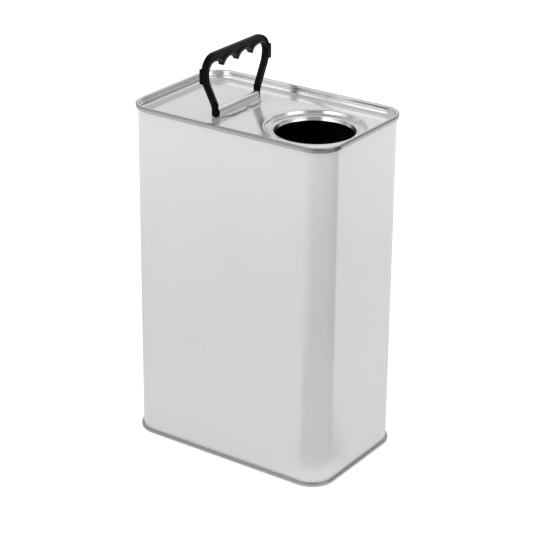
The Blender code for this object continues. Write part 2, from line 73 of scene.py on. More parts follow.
# The length over which the rubbing and the painted shade come in: outward on a seam, at the chuck
# wall from its start inside the body wall, and at the mouth's ring. The last is a share of the
# seam's height, for the lighter painted shade on its lower part.
SEAM_RUB_AND_SHADE = 0.0012
WALL_START = 0.0022
WALL_FADE = 0.0006
RING_FADE = 0.004
BAND_FADE = 0.1
# The share of the chuck wall's taper that it has by the bead's lower end.
BEAD_TAPER = 0.25
# Painted shadow of the gap under the flange's cut edge in its middle, and how much less it is per
# metre toward the back.
CUT_EDGE_SHADOW = 0.75
CUT_EDGE_SHADOW_SLOPE = 8
# Burnished metal's mirror, roughness and share of the grain, and the painted shade that darkens
# a seam's outside and the flange's cut edge.
BURNISHED = 0.92
BURNISHED_ROUGH = 0.17
BURNISHED_GRAIN = 0.25
PAINTED_SHADE = 0.4
# Tones of the painted highlights on the corners of the handle's outer and inner rim. 1 is the web
# and 2 the palest.
OUTER_PAINTED_GLINT = 1.4
INNER_PAINTED_GLINT = 2
# The plastic's shade on the rims' edge and on the web, and what the painted highlight on the
# palest corner adds to it.
EDGE_SHADE = 0.3
WEB_SHADE = 2.2
PAINTED_GLINT = 26.0
# The squared slope of a scallop up to which the inner rim is widened, and the radius of the rims'
# inner corners as a share of their edge radius.
STEEPEST = 2.2
CORNER_SHARE = 0.6
# Sines along the flange's sheared edge, as size, count and start.
SHEAR_WAVES = ((0.5, 7, 0), (0.35, 17, 1.3), (0.3, 29, 2.1), (0.25, 53, 0.4))
# Weld spots and hammer marks on the flange: place along it as a share, place across it in tube
# radii, size and depth in millimetres. Then its waves, as height, turn per metre and start.
WELD_SPOTS = (
    (-0.3, 1.9, 1.5, 0.12), (0.14, 1.75, 1.5, 0.12), (0.36, 1.9, 1.4, 0.1), (-0.12, 2.0, 1.0, 0.06),
)
FLANGE_WAVES = ((0.00006, 900, 2), (0.0001, 310, 0))
# How far outward the spots are moved, and how much of a spot's depth stands up as a ring round it.
SPOT_START = 0.0006
SPOT_RING = 0.7
MILLIMETRE = 0.001
# The share of the weld's rise that comes and goes along it, half its width as a share of the
# overlap's, and how far its section reaches down into the wall, as a multiple of its rise.
WELD_RIPPLE = 0.14
WELD_HALF = 0.6
WELD_ROOT = 1.2
# Rings of the base panel inside its step, as distance outward and corner radius.
BASE_MIDDLE = ((-0.0138, 0.0093), (-0.02, 0.008), (-0.03, 0.006), (-0.04, 0.004), (-0.047, 0.002))
# Where a panel's rings lie, as shares of the way from the chuck wall to the mouth.
PANEL_RINGS = (0.004, 0.012, *np.linspace(0.03, 0.97, 30), 0.988, 0.996)
# The distance from an edge to the ring next to it, and one too small to see.
RING_STEP = 0.0002
HAIR = 0.00001
# The soft lamps: place, width and share of the key light. They point at LAMP_AIM.
SOFTBOXES = (
    ("left_box", (-0.35, -1.5, 1.25), 0.8, 0.6),
    ("right_box", (1.6, -0.2, 1.25), 0.8, 0.6),
    ("top_box", (0.0, 0.1, 2.6), 1.4, 1.0),
)
LAMP_AIM = (0, 0, 0.2)
# Half the floor's side, and how far it lies under the foot.
FLOOR_HALF = 6
FLOOR_DROP = 0.0001
# The studio that glossy surfaces reflect, as surfaces of revolution. Each has its two rings' radius
# and height, the distances over which it fades in, and its grey at shares of a turn from -X
# through the front, the right and the back. Distances and turns are taken from the front corner.
STUDIO = (
    ("near_ground", (0.02, 0.001), (3.0, 0.001), 0.03, 0.05, (
        (0.0, 0.74), (1.0, 0.74), (0.16, 0.74), (0.19, 0.55), (0.23, 0.24), (0.61, 0.24), (0.66, 0.8),
    )),
    ("ground", (0.1, 0.0014), (3.0, 0.0014), 0.21, 0.25, (
        (0.0, 0.68), (1.0, 0.68), (0.15, 0.68), (0.2, 0.52), (0.25, 0.36), (0.3, 0.14), (0.48, 0.08),
        (0.55, 0.04), (0.62, 0.06), (0.665, 0.82),
    )),
    ("far_ground", (0.4, 0.0018), (3.0, 0.0018), 0.42, 0.75, (
        (0.0, 1.02), (1.0, 1.02), (0.14, 1.02), (0.19, 0.85), (0.25, 0.7), (0.3, 0.6), (0.43, 0.5),
        (0.5, 0.42), (0.56, 0.22), (0.62, 0.1), (0.665, 1.1),
    )),
    ("wall", (3.0, 0.0), (3.0, 1.2), 0.0, 0.1, (
        (0.0, 0.7), (1.0, 0.7), (0.12, 0.75), (0.2, 1.7), (0.215, 2.6), (0.265, 2.6), (0.3, 0.3),
        (0.39, 0.3), (0.44, 1.7), (0.46, 2.6), (0.51, 2.6), (0.55, 0.35), (0.7, 0.35), (0.76, 0.7),
    )),
    ("upper_wall", (3.0, 1.2), (3.0, 2.8), 0.0, 0.1, (
        (0.0, 0.8), (1.0, 0.8), (0.1, 1.0), (0.14, 1.6), (0.19, 1.5), (0.27, 1.0), (0.31, 0.5),
        (0.39, 0.5), (0.43, 1.0), (0.5, 0.9), (0.6, 0.25), (0.67, 0.35), (0.73, 1.25), (0.77, 1.15),
        (0.82, 0.8),
    )),
    ("ceiling", (3.0, 2.8), (0.05, 3.6), 0.0, 0.1, (
        (0.0, 0.5), (1.0, 0.5), (0.25, 0.45), (0.5, 0.5), (0.62, 0.95), (0.85, 0.95),
    )),
)


def length(name, default, description):
    """A length in metres as a property."""
    return FloatProperty(
        name=name, default=default, description=description, unit="LENGTH", min=0.0, precision=5
    )


def angle(name, default, description):
    """An angle in radians as a property."""
    return FloatProperty(name=name, default=default, description=description, subtype="ANGLE")


def share(name, default, description):
    """A share from 0 to 1 as a property."""
    return FloatProperty(
        name=name, default=default, description=description, subtype="FACTOR", min=0.0, max=1.0
    )


def colour(name, default, description):
    """A colour as a property."""
    return FloatVectorProperty(
        name=name, default=default, description=description, subtype="COLOR", min=0.0, max=1.0
    )


class CanSizes(PropertyGroup):
    width: length("Width", 0.165, "Outside of the body wall along X")
    depth: length("Depth", 0.102, "Outside of the body wall along Y")
    corner: length("Corner radius", 0.017, "Outside radius of the upright corners")
    height: length("Height", 0.255, "From the foot of the base seam to the crown of the top one")
    sheet: length("Sheet", 0.0003, "Thickness of the tinplate")
    top_seam: length("Top seam", 0.0034, "Height of the top seam")
    top_gap: length("Top seam gap", 0.00025, "Room between two layers in the top seam")
    base_seam: length("Base seam", 0.0031, "Height of the base seam")
    base_gap: length("Base seam gap", 0.0002, "Room between two layers in the base seam")
    compound: length("Compound", 0.0003, "Thickness of the lining compound")
    crown: length("Crown radius", 0.0007, "Radius of the seams' upper corners")
    wall_bow: length("Wall bow", 0.00035, "How far the middle of a wall is drawn in")
    weld_width: length("Weld width", 0.0014, "Width of the side weld's overlap")
    weld_rise: length("Weld rise", 0.00022, "How far the side weld stands out")
    weld_gap: length("Weld gap", 0.0006, "From a seam to the end of the side weld")
    weld_pitch: length("Weld pitch", 0.0011, "Distance between two ripples of the side weld")


class EndSizes(PropertyGroup):
    recess: length("Top recess", 0.006, "Depth of the top panel below the crown")
    bead_depth: length("Bead depth", 0.0037, "Depth of the bead in the chuck wall")
    bead_rise: length("Bead rise", 0.0004, "How far the bead stands in")
    bead_half: length("Bead half height", 0.00045, "Half the height of the bead")
    taper: length("Wall taper", 0.0005, "How far the chuck wall leans in at its foot")
    foot_radius: length("Foot radius", 0.0015, "Radius from the chuck wall into the panel")
    panel_wave: length("Panel wave", 0.00005, "Height of the soft waves in the top panel")
    base_recess: length("Base recess", 0.0042, "Depth of the base panel")
    base_foot: length("Base foot radius", 0.001, "Radius from the base wall into its panel")
    step_inset: length("Step inset", 0.012, "Distance of the base panel's step from the wall")
    step_run: length("Step run", 0.0016, "Width of the base panel's step")
    step_rise: length("Step rise", 0.001, "Height of the base panel's step")
    step_corner: length("Step corner", 0.011, "Corner radius of the base panel's step")


class MouthSizes(PropertyGroup):
    radius: length("Bore radius", 0.0285, "Radius of the open bore")
    ledge: length("Ledge", 0.00775, "From the bore to the top of the ring's wall")
    margin: length("End margin", 0.00575, "From the ring to the +X end of the body")
    depth: length("Ring depth", 0.0028, "Depth of the ring below the panel")
    shoulder: length("Shoulder radius", 0.001, "Radius from the panel into the ring's wall")
    fillet: length("Fillet radius", 0.0007, "Radius from the ring's wall into its ledge")
    lean: angle("Wall lean", math.radians(12.0), "Lean of the ring's wall")
    lip_radius: length("Lip radius", 0.0007, "Radius of the bore's rounded lip")
    lip_rise: length("Lip rise", 0.00045, "Height of the lip above the ledge")
    skirt: length("Skirt", 0.0024, "Length of the bore's skirt below the ledge")
    funnel: length("Skirt lean", 0.0007, "How far the skirt leans in at its foot")


class BracketSizes(PropertyGroup):
    length: length("Length", 0.0474, "Length of the rolled tube")
    sheet: length("Strap", 0.00035, "Thickness of the strap")
    tube: length("Tube radius", 0.0032, "Outside radius of the tube")
    layer_gap: length("Layer gap", 0.00012, "Room between the flange's two layers")
    flange: length("Flange", 0.0084, "Reach of the flange from the hinge axis")
    fold: length("Fold radius", 0.0005, "Radius of the fold into the flange")
    relief: length("End relief", 0.0012, "How much shorter the flange is at each end")
    corner_cut: length("Corner cut", 0.0036, "Depth of the cut-back front corner")
    corner_run: length("Corner run", 0.011, "Length of the cut-back front corner")
    back_cut: length("Back corner cut", 0.0022, "Depth of the cut-back rear corner")
    back_run: length("Back corner run", 0.012, "Length of the cut-back rear corner")
    notch: length("Notch", 0.0028, "Depth of the V notch in the flange's edge")
    notch_half: length("Notch half width", 0.0034, "Half the width of the V notch")
    notch_place: share("Notch place", 0.6, "Where the notch is, along the flange from the front")
    rough: length("Rough edge", 0.00016, "Height of the waves in the flange's edge")


class HandleSizes(PropertyGroup):
    lean: angle("Lean", math.radians(-0.5), "Lean of the grip")
    height: length("Height", 0.0435, "Top of the grip above the hinge axis")
    thickness: length("Thickness", 0.0044, "Thickness over the rims")
    web: length("Web", 0.0018, "Thickness of the web between the rims")
    outer_rim: length("Outer rim", 0.0008, "Width of the outer rim")
    inner_rim: length("Inner rim", 0.0012, "Width of the inner rim")
    edge: length("Edge radius", 0.0004, "Radius of the rims' edges")
    fillet: length("Web fillet", 0.00025, "Radius from a rim into the web")
    dome: length("Dome", 0.0005, "How far the outer edge is domed")
    dome_depth: length("Dome depth", 0.0015, "How far the dome reaches in from each face")
    pitch: length("Finger pitch", 0.0171, "Distance between two teeth")
    grip_depth: length("Grip depth", 0.0063, "From the top edge to the scallops' crown")
    tooth: length("Tooth depth", 0.0048, "From the scallops' crown to a tooth's tip")
    tooth_half: length("Tooth half tip", 0.0006, "Half the width of a tooth's tip")
    tooth_nose: length("Tooth nose", 0.0002, "How round a tooth's tip is")
    shoulder: length("Shoulder radius", 0.0125, "Radius of the shoulders")
    leg_outer: length("Leg outer", 0.0382, "From the middle to the legs' outer edge")
    leg_width: length("Leg width", 0.0042, "Width of a leg at its top")
    leg_foot_width: length("Leg foot width", 0.0034, "Width of a leg at its foot")
    leg_bow: share("Leg bow", 0.28, "0 for a straight leg, 1 for two arcs")
    foot_bend: share("Foot bend", 0.2, "Share of the bending that is at the foot")
    foot_top: length("Foot top", 0.0005, "Height at which a leg stands upright again")
    foot_thickness: length("Foot thickness", 0.0021, "Thickness of a foot along the hinge")
    foot_radius: length("Foot radius", 0.0034, "Radius of a foot's lower end")
    foot_flat: length("Foot flat", 0.00028, "How much of the lower end is cut off level")
    foot_proud: length("Foot rise", 0.00015, "How far a foot stands out beside its leg")
    foot_bevel: length("Foot bevel", 0.0003, "Radius of the edges of feet and pegs")
    end_step: length("Leg end step", 0.0003, "How far a leg ends inside its foot's outer face")
    side_gap: length("Side gap", 0.0003, "From a foot to the end of the tube")
    inner_clear: length("Inner clearance", 0.0034, "From the tube to the leg's inner edge")
    peg_length: length("Peg length", 0.0095, "Length of the pegs in the tube")
    peg_clear: length("Peg clearance", 0.0008, "Room round the pegs in the tube")
    lug_drop: length("Lug drop", 0.0091, "From the top edge to the lugs")
    lug_height: length("Lug height", 0.0106, "Height of the lugs")
    lug_proud: length("Lug rise", 0.0013, "How far the lugs stand out of the legs")
    lug_depth: length("Lug depth", 0.0048, "Depth of the lugs along Y")
    lug_face: length("Lug face rise", 0.00025, "How far the lugs stand out sideways")
    lug_slot: length("Lug slot", 0.0005, "Depth of the slot down a lug's outer face")
    lug_slot_half: length("Lug slot half width", 0.0005, "Half the width of that slot")
    lug_edge: length("Lug edge radius", 0.00015, "Radius of a lug's upright edges")
    lug_bevel: length("Lug bevel", 0.0004, "Radius of a lug's upper and lower edges")


class FinishColours(PropertyGroup):
    lacquer: colour("Lacquer", (0.7, 0.7, 0.7), "White coating of the body")
    tin: colour("Tinplate", (0.74, 0.74, 0.74), "Bare tinplate of the ends")
    strap: colour("Strap", (0.8, 0.8, 0.8), "Bare tinplate of the bracket")
    compound: colour("Compound", (0.55, 0.52, 0.42), "Lining compound in the seams")
    plastic: colour("Plastic", (0.004, 0.004, 0.004), "Moulded plastic of the handle")
    # Painted shade: the inside is near black, standing for the shade within the can.
    inside: colour("Inside", (0.006, 0.006, 0.006), "Dark lining inside the body")


class StageSizes(PropertyGroup):
    focal: FloatProperty(
        name="Focal length", default=129.69, description="Focal length in mm on a 36 mm sensor"
    )
    place: FloatVectorProperty(
        name="Camera place", default=(0.72246, -1.03979, 0.69014), subtype="XYZ", unit="LENGTH",
        description="Where the camera stands",
    )
    azimuth: angle("Azimuth", 0.606602, "Camera's angle round the can")
    elevation: angle("Elevation", 0.41404, "Camera's angle above the floor")
    roll: angle("Roll", 0.008461, "Camera's roll")
    room: FloatProperty(name="Room light", default=0.8, description="Strength of the pale room")
    key: FloatProperty(name="Key light", default=9.0, description="Power of the side lamps", unit="POWER")
    floor: colour("Floor", (0.86, 0.86, 0.86), "Colour of the floor")


def arc(centre, radius, start, end, steps):
    """Points on a circle: centre + radius times (cos a, sin a), as a runs from start to end in degrees."""
    turn = np.radians(np.linspace(start, end, steps + 1))
    return np.column_stack((centre[0] + radius * np.cos(turn), centre[1] + radius * np.sin(turn)))


def run(start, end, count):
    """Points on a straight line between two points, both left out, spaced by the half cosine so that
    they crowd at its ends: start + (end - start) (1 - cos(pi s)) / 2."""
    s = np.linspace(0, 1, count + 2)[1:-1, None]
    return np.array(start) + (np.array(end) - np.array(start)) * (1 - np.cos(np.pi * s)) / 2


def unit(rows):
    """Each row divided by its length."""
    return rows / np.linalg.norm(rows, axis=1)[:, None]


def raised(flat, height):
    """Rings of (x, y) points with a height for each ring, as rings of (x, y, height)."""
    tall = np.broadcast_to(height[:, None, None], (*flat.shape[:2], 1))
    return np.concatenate((flat, tall), axis=2)


def normals(path, closed=False):
    """Left-hand unit normals of a path, and the cosine between each and its segment's own normal."""
    if closed:
        after = unit(np.roll(path, -1, axis=0) - path)
        before = np.roll(after, 1, axis=0)
    else:
        step = unit(np.diff(path, axis=0))
        before, after = np.vstack((step[:1], step)), np.vstack((step, step[-1:]))
    both = before + after
    left = unit(np.column_stack((-both[:, 1], both[:, 0])))
    return left, left[:, 1] * before[:, 0] - left[:, 0] * before[:, 1]


def offset(path, distance):
    """The path moved to its left: each point goes along its normal, by the distance over the cosine."""
    left, cosine = normals(path)
    return path + left * (distance / cosine)[:, None]


def sheet_loop(path, thickness):
    """The closed section of a sheet: its left skin out and its right skin back."""
    return np.vstack((offset(path, thickness / 2), offset(path, -thickness / 2)[::-1]))


class Outline:
    """The rounded rectangle round the can, as a unit place u and a direction d for each point.

    A point at a distance o outward with a corner radius r is u (half size + o - r) + r d. In a
    corner u stays and d turns by 90 degrees. Along a side d stays and u runs to the next corner.
    """

    def __init__(self, can, corner_steps=20, long_steps=46, short_steps=28):
        signs = np.array(((1, 1), (-1, 1), (-1, -1), (1, -1)), float)
        places, turns = [], []
        for quarter in range(4):
            places.append(np.repeat(signs[quarter][None], corner_steps + 1, axis=0))
            turns.append(np.linspace(90 * quarter, 90 * quarter + 90, corner_steps + 1))
            steps = short_steps if quarter % 2 else long_steps
            places.append(run(signs[quarter], signs[(quarter + 1) % 4], steps))
            turns.append(np.full(steps, 90.0 * quarter + 90))
        self.u = np.vstack(places)
        turn = np.radians(np.concatenate(turns))
        self.d = np.column_stack((np.cos(turn), np.sin(turn)))
        self.half = np.array((can.width / 2, can.depth / 2))
        self.corner = can.corner

    def rings(self, section, corner=None):
        """Rings for a section of (outward, height) points: an array of section by outline by xyz."""
        outward, height = section[:, 0, None, None], section[:, 1]
        r = self.corner + outward if corner is None else np.array(corner)[:, None, None]
        return raised(self.u * (self.half + outward - r) + r * self.d, height)

    def middle_of_side(self):
        """1 in the middle of each side and 0 in the corners: (1 - ux^2) dy^2 + (1 - uy^2) dx^2."""
        (ux, uy), (dx, dy) = self.u.T, self.d.T
        return (1 - ux**2) * dy**2 + (1 - uy**2) * dx**2


def add_surface(name, points, finish, along=False, caps=False, lining=None, lined=(0, 0), wear=None):
    """Puts a grid of points into a mesh, one quad between four neighbours, each row a closed ring.

    along joins the last row to the first, and caps close both with one face each. The rows in
    lined get the lining's finish, near black as a painted shade inside the can, and the last argument
    gives each row or point its rubbing, painted shade and painted highlight. The faces are turned
    over if the volume, the sum of a . (b x c) over the triangles, comes out negative.
    """
    rows, columns = points.shape[:2]
    index = np.arange(rows * columns).reshape(rows, columns)
    grid = np.vstack((index, index[:1])) if along else index
    grid = np.hstack((grid, grid[:, :1]))
    quads = np.stack((grid[:-1, :-1], grid[:-1, 1:], grid[1:, 1:], grid[1:, :-1]), axis=-1)
    quads = quads.reshape(-1, 4)
    flat = points.reshape(-1, 3)
    a, b, c, d = (flat[quads[:, i]] for i in range(4))
    volume = np.einsum("ij,ij->", a, np.cross(b, c)) + np.einsum("ij,ij->", a, np.cross(c, d))
    faces = quads.tolist()
    for ring in (index[0][::-1], index[-1]) if caps else ():
        faces.append(ring.tolist())
        around = np.cross(flat[ring], np.roll(flat[ring], -1, axis=0)).sum(axis=0)
        volume += around @ flat[ring].mean(axis=0)
    if volume < 0:
        faces = [face[::-1] for face in faces]
    mesh = bpy.data.meshes.new(name)
    mesh.from_pydata(flat.tolist(), [], faces)
    mesh.update()
    mesh.shade_smooth()
    mesh.set_sharp_from_angle(angle=math.radians(SHARP))
    mesh.materials.append(finish)
    if lining:
        mesh.materials.append(lining)
        slots = np.zeros(len(faces), int)
        slots[lined[0] * columns : lined[1] * columns] = 1
        mesh.polygons.foreach_set("material_index", slots)
    if wear is not None:
        rubbing_and_painted_light = np.broadcast_to(wear, (columns, rows)).T if np.ndim(wear) == 1 else wear
        mesh.attributes.new("wear", "FLOAT", "POINT").data.foreach_set("value", rubbing_and_painted_light.ravel())
    made = bpy.data.objects.new(name, mesh)
    bpy.context.scene.collection.objects.link(made)
    return made


def tooling_and_seam_shade(grid, can, seam_top, seam_height):
    """How much the tools burnished each row, and the painted shade on the seams: 0 on a panel,
    WALL_RUB on the chuck wall and the mouth's ring, and from there to 1 across a seam's crown to its
    outside, where all past WALL_RUB is painted shade. Below SEAM_BAND of the seam's height the
    painted shade is lighter."""
    out = grid[..., 0].max(axis=1) - can.width / 2
    wall = np.clip((out + WALL_START) / WALL_FADE, 0, 1)
    ring = np.clip(grid[..., 0].min(axis=1) / RING_FADE, 0, 1)
    down = (seam_top - grid[..., 2].mean(axis=1)) / seam_height
    # Painted shade: values past WALL_RUB darken the seam's outside, less on its lower band.
    roll = 1 - (1 - LOWER_SEAM_SHADE) * np.clip((down - SEAM_BAND) / BAND_FADE, 0, 1)
    return np.maximum(np.maximum(wall, ring) * WALL_RUB, np.clip(out / SEAM_RUB_AND_SHADE, 0, 1) * roll)


def place(piece, body, slot, *nodes):
    """The piece rides on its body and stands for its CAD nodes, which it hides. The slot, its finish's name,
    is not used.
    """
    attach(piece, body)
    if nodes:
        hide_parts(*nodes)


def seam_layers(can, gap):
    """Distances outward of the five layers' centre lines, a sheet and a gap apart."""
    pitch = can.sheet + gap
    return dict(
        zip(
            ("chuck", "body", "cover_hook", "body_hook", "outside"),
            (-can.sheet / 2 + np.arange(-1, 4) * pitch).tolist(),
        )
    )


def body_hook(can, height, gap):
    """Centre line of the body's hook as (outward, depth): half a turn out, then straight to its tip."""
    layers = seam_layers(can, gap)
    pitch = can.sheet + gap
    crown = can.sheet / 2 + gap + can.compound + pitch
    turn = (layers["body_hook"] - layers["body"]) / 2
    bend = arc((layers["body"] + turn, crown + turn), turn, -180, 0, 8)
    return np.vstack((bend, (layers["body_hook"], height - can.sheet - gap)))


def end_seam(can, height, gap):
    """Centre line of an end's edge as (outward, depth): up its hook, round under the seam, up its
    outside, over the crown and into the chuck wall."""
    layers = seam_layers(can, gap)
    pitch = can.sheet + gap
    tip = can.sheet / 2 + gap + can.compound + pitch + can.sheet / 2 + gap
    turn = (layers["outside"] - layers["cover_hook"]) / 2
    foot = height - can.sheet / 2 - turn
    top = can.sheet / 2 + can.crown
    outside = layers["outside"]
    s = np.linspace(0, 1, 9)[1:-1]
    waist = np.column_stack((outside - SEAM_WAIST * np.sin(np.pi * s) ** 2, foot + (top - foot) * s))
    return np.vstack(
        (
            (layers["cover_hook"], tip),
            arc((layers["cover_hook"] + turn, foot), turn, 180, 0, 10),
            waist,
            arc((outside - can.crown, top), can.crown, 0, -90, 8),
            arc((layers["chuck"] + can.crown, top), can.crown, -90, -180, 8),
        )
    )


def top_wall(can, end):
    """Centre line of the top end below its seam as (outward, depth): the wall, a rounded bead that
    stands in by the rise times (1 + cos) / 2, and the foot's quarter circle into the panel."""
    wall = seam_layers(can, can.top_gap)["chuck"]
    panel = end.recess + can.sheet / 2
    s = np.linspace(-1, 1, 9)
    bead = np.column_stack(
        (
            wall - end.bead_rise * (1 + np.cos(np.pi * s)) / 2 - end.taper * BEAD_TAPER * (s > 0) * s,
            end.bead_depth + end.bead_half * s,
        )
    )
    foot = wall - end.taper
    return np.vstack(
        (bead, arc((foot - end.foot_radius, panel - end.foot_radius), end.foot_radius, 0, 90, 8))
    )


def mouth_section(can, end, mouth):
    """Centre line of the mouth as (radius, depth): shoulder, leaning wall, fillet, ledge, lip, skirt."""
    panel = end.recess + can.sheet / 2
    floor = panel + mouth.depth
    lean = 90 - math.degrees(mouth.lean)
    wide = mouth.radius + mouth.ledge
    shoulder = arc((wide, panel + mouth.shoulder), mouth.shoulder, -90, -90 - lean, 8)
    drop = floor - mouth.fillet * (1 - math.cos(math.radians(lean))) - shoulder[-1, 1]
    start = shoulder[-1, 0] - drop * math.tan(mouth.lean)
    middle = start - mouth.fillet * math.sin(math.radians(lean))
    fillet = arc((middle, floor - mouth.fillet), mouth.fillet, 90 - lean, 90, 8)
    lip_r = mouth.radius + can.sheet / 2 + mouth.lip_radius
    lip_depth = floor - mouth.lip_rise + mouth.lip_radius
    rise = math.degrees(math.asin((lip_depth - floor) / mouth.lip_radius))
    lip = arc((lip_r, lip_depth), mouth.lip_radius, -rise, -180, 10)
    skirt = (lip_r - mouth.lip_radius - mouth.funnel, floor + mouth.skirt)
    return np.vstack((shoulder, fillet, run(fillet[-1], lip[0], 3), lip, skirt))


def hinge_turn(lean):
    """The rotation by the handle's lean about the hinge, as a matrix for row vectors."""
    c, s = math.cos(lean), math.sin(lean)
    return np.array(((c, 0, -s), (0, 1, 0), (s, 0, c)))


def scallop(handle, across):
    """Height of the grip's underside: a circle arc in each finger place, and a rounded tip between.

    Away from a tooth's tip it is crown - R + sqrt(R^2 - a^2), with a the distance from the finger
    place's middle and R the radius through crown and tip. On the tip it is a shallow parabola.
    """
    top = handle.height - handle.grip_depth
    nearest = np.abs(across - handle.pitch * np.round(across / handle.pitch))
    half = handle.pitch / 2 - handle.tooth_half
    depth = handle.tooth - handle.tooth_nose
    radius = (half**2 + depth**2) / (2 * depth)
    away = np.minimum(handle.pitch / 2 - nearest, half)
    curve = top - radius + np.sqrt(radius**2 - away**2)
    tip = top - handle.tooth + handle.tooth_nose * (nearest / handle.tooth_half) ** 2
    return np.where(nearest < handle.tooth_half, tip, curve)


def foot_near(handle, bracket):
    """Distance of a foot's inner face from the middle of the grip."""
    return bracket.length / 2 + handle.side_gap


def handle_edges(handle, bracket):
    """Outer edge, inner edge and inner rim share along half the handle, from its middle to a foot.

    The grip runs along y under a straight top. The shoulder is a quarter turn on whose rays the
    width runs to the leg's. The leg is an arc, a straight run and an arc back, whose slope comes
    from its two ends: atan(across / fall) (1 + bow).
    """
    top, crown = handle.height, handle.height - handle.grip_depth
    start = handle.pitch + handle.tooth_half
    y = np.concatenate(
        (
            np.linspace(0, handle.tooth_half, 5)[:-1],
            handle.tooth_half + (handle.pitch - 2 * handle.tooth_half) * np.linspace(0, 1, 37),
            np.linspace(handle.pitch - handle.tooth_half, handle.pitch, 5)[1:],
            np.linspace(handle.pitch, start, 5)[1:-1],
        )
    )
    under = scallop(handle, y)
    turn = np.linspace(0, np.pi / 2, 19)[:-1]
    last = start + (handle.leg_outer - handle.shoulder - start) * (1 - np.cos(turn))
    last_under = crown - (handle.tooth - handle.tooth_nose) * (1 - np.sin(turn))
    y, under = np.concatenate((y, last)), np.concatenate((under, last_under))
    slope = np.gradient(under, y)
    grow = np.sqrt(1 + np.minimum(slope**2, STEEPEST))
    outer = [np.column_stack((y, np.full_like(y, top)))]
    inner = [np.column_stack((y, under))]

    s = np.linspace(0, 1, 25)[:, None]
    angle = np.pi / 2 * (1 - s)
    ray = np.hstack((np.cos(angle), np.sin(angle)))
    centre = np.array((handle.leg_outer - handle.shoulder, top - handle.shoulder))
    width = handle.grip_depth + (handle.leg_width - handle.grip_depth) * s
    outer.append(centre + ray * handle.shoulder)
    inner.append(outer[-1] - ray * width)

    end = np.array((foot_near(handle, bracket) + handle.foot_thickness - handle.end_step, handle.foot_top))
    across, fall = handle.leg_outer - end[0], top - handle.shoulder - handle.foot_top
    splay = math.atan2(across, fall) * (1 + handle.leg_bow)
    both = (fall * math.sin(splay) - across * math.cos(splay)) / (1 - math.cos(splay))
    leg_r, foot_r = both * (1 - handle.foot_bend), both * handle.foot_bend
    s = np.linspace(0, 1, 13)[:, None]
    ray = np.hstack((np.cos(splay * s), -np.sin(splay * s)))
    leg = np.array((handle.leg_outer - leg_r, top - handle.shoulder)) + ray * leg_r
    foot = end + (foot_r, 0) - ray[::-1] * foot_r
    straight = run(leg[-1], foot[0], 8)
    outer_leg = np.vstack((leg[1:], straight, foot))
    rays = np.vstack((ray[1:], np.repeat(ray[-1:], 8, axis=0), ray[::-1]))
    fallen = np.linspace(0, 1, len(rays))[:, None]
    inner_leg = outer_leg - rays * (handle.leg_width + (handle.leg_foot_width - handle.leg_width) * fallen)
    level = bracket.tube + handle.inner_clear
    kept = inner_leg[:, 1] > level
    tip = (np.interp(-level, -inner_leg[:, 1], inner_leg[:, 0]), level)
    outer += [outer_leg[kept], end[None]]
    inner += [inner_leg[kept], np.array(tip)[None]]
    outer, inner = np.vstack(outer), np.vstack(inner)
    return outer, inner, np.concatenate((grow, np.ones(len(outer) - len(grow))))


def rim_profile(handle, width, dome, rubbing_and_painted_light):
    """Half a rim as (distance from the edge, x, tone): over its rounded edge, a quarter ellipse whose
    half axes are dome, with the tone 0, round its inner corner with the given corner tone, which
    paints a highlight there, and down its slope onto the web with the tone 1."""
    face, web, fillet = handle.thickness / 2, handle.web / 2, handle.fillet
    across, deep = dome
    r = handle.edge * CORNER_SHARE
    bow = arc((0, 0), 1, 180, 90, 5) * dome + (across, face - deep)
    parts = (
        (np.vstack(((0, 0), (0, (face - deep) * 0.6), bow)), 0),
        # Painted highlight: the corner's tone brightens it as a glint.
        (arc((width - r, face - r), r, 90, 15, 4), rubbing_and_painted_light),
        (arc((width + fillet, web + fillet), fillet, 195, 270, 4), 1),
    )
    return np.vstack([np.column_stack((part, np.full(len(part), tone))) for part, tone in parts])


def handle_grid(handle, bracket):
    """The I section carried from one foot over the grip to the other, and the tone of each point.

    A point is outer + (u from the outer edge) along the ray to the inner edge, or inner - (u from
    the inner edge) along it. The inner rim's width is kept square to the scallops by sqrt(1 + h'^2).
    """
    outer, inner, grow = handle_edges(handle, bracket)
    outer = np.vstack((outer[:0:-1] * (-1, 1), outer))
    inner = np.vstack((inner[:0:-1] * (-1, 1), inner))
    grow = np.concatenate((grow[:0:-1], grow))[:, None]
    ray = unit(inner - outer)
    near = rim_profile(handle, handle.outer_rim, (handle.dome, handle.dome_depth), OUTER_PAINTED_GLINT)
    far = rim_profile(handle, handle.inner_rim, (handle.edge, handle.edge), INNER_PAINTED_GLINT)
    flip = np.array((1, -1, 1))
    loop = (
        (outer, ray, 1, near),
        (inner, -ray, grow, far[::-1]),
        (inner, -ray, grow, far[1:] * flip),
        (outer, ray, 1, near[:0:-1] * flip),
    )
    parts = []
    for edge, way, stretch, rim in loop:
        flat = edge[:, None] + way[:, None] * (rim[:, 0] * stretch)[..., None]
        x = np.broadcast_to(rim[:, 1, None], (len(edge), len(rim), 1))
        parts.append(np.concatenate((x, flat), axis=2))
    tone = np.concatenate([rim[:, 2] for edge, way, stretch, rim in loop])
    return np.concatenate(parts, axis=1), np.broadcast_to(tone, (len(outer), len(tone)))


def plate_rings(outline, near, far, bevel):
    """An outline carried from near to far with rounded edges: at the angle a of an edge the outline
    is drawn in by bevel (1 - sin a), and stands bevel (1 - cos a) inside the face."""
    a = np.linspace(0, np.pi / 2, 5)
    inset, down = bevel * (1 - np.sin(a)), bevel * (1 - np.cos(a))
    inset = np.concatenate((inset, inset[::-1]))
    left, cosine = normals(outline, closed=True)
    flat = outline + left * (inset[:, None] / cosine)[..., None]
    return raised(flat, np.concatenate((near + down, far - down[::-1])))


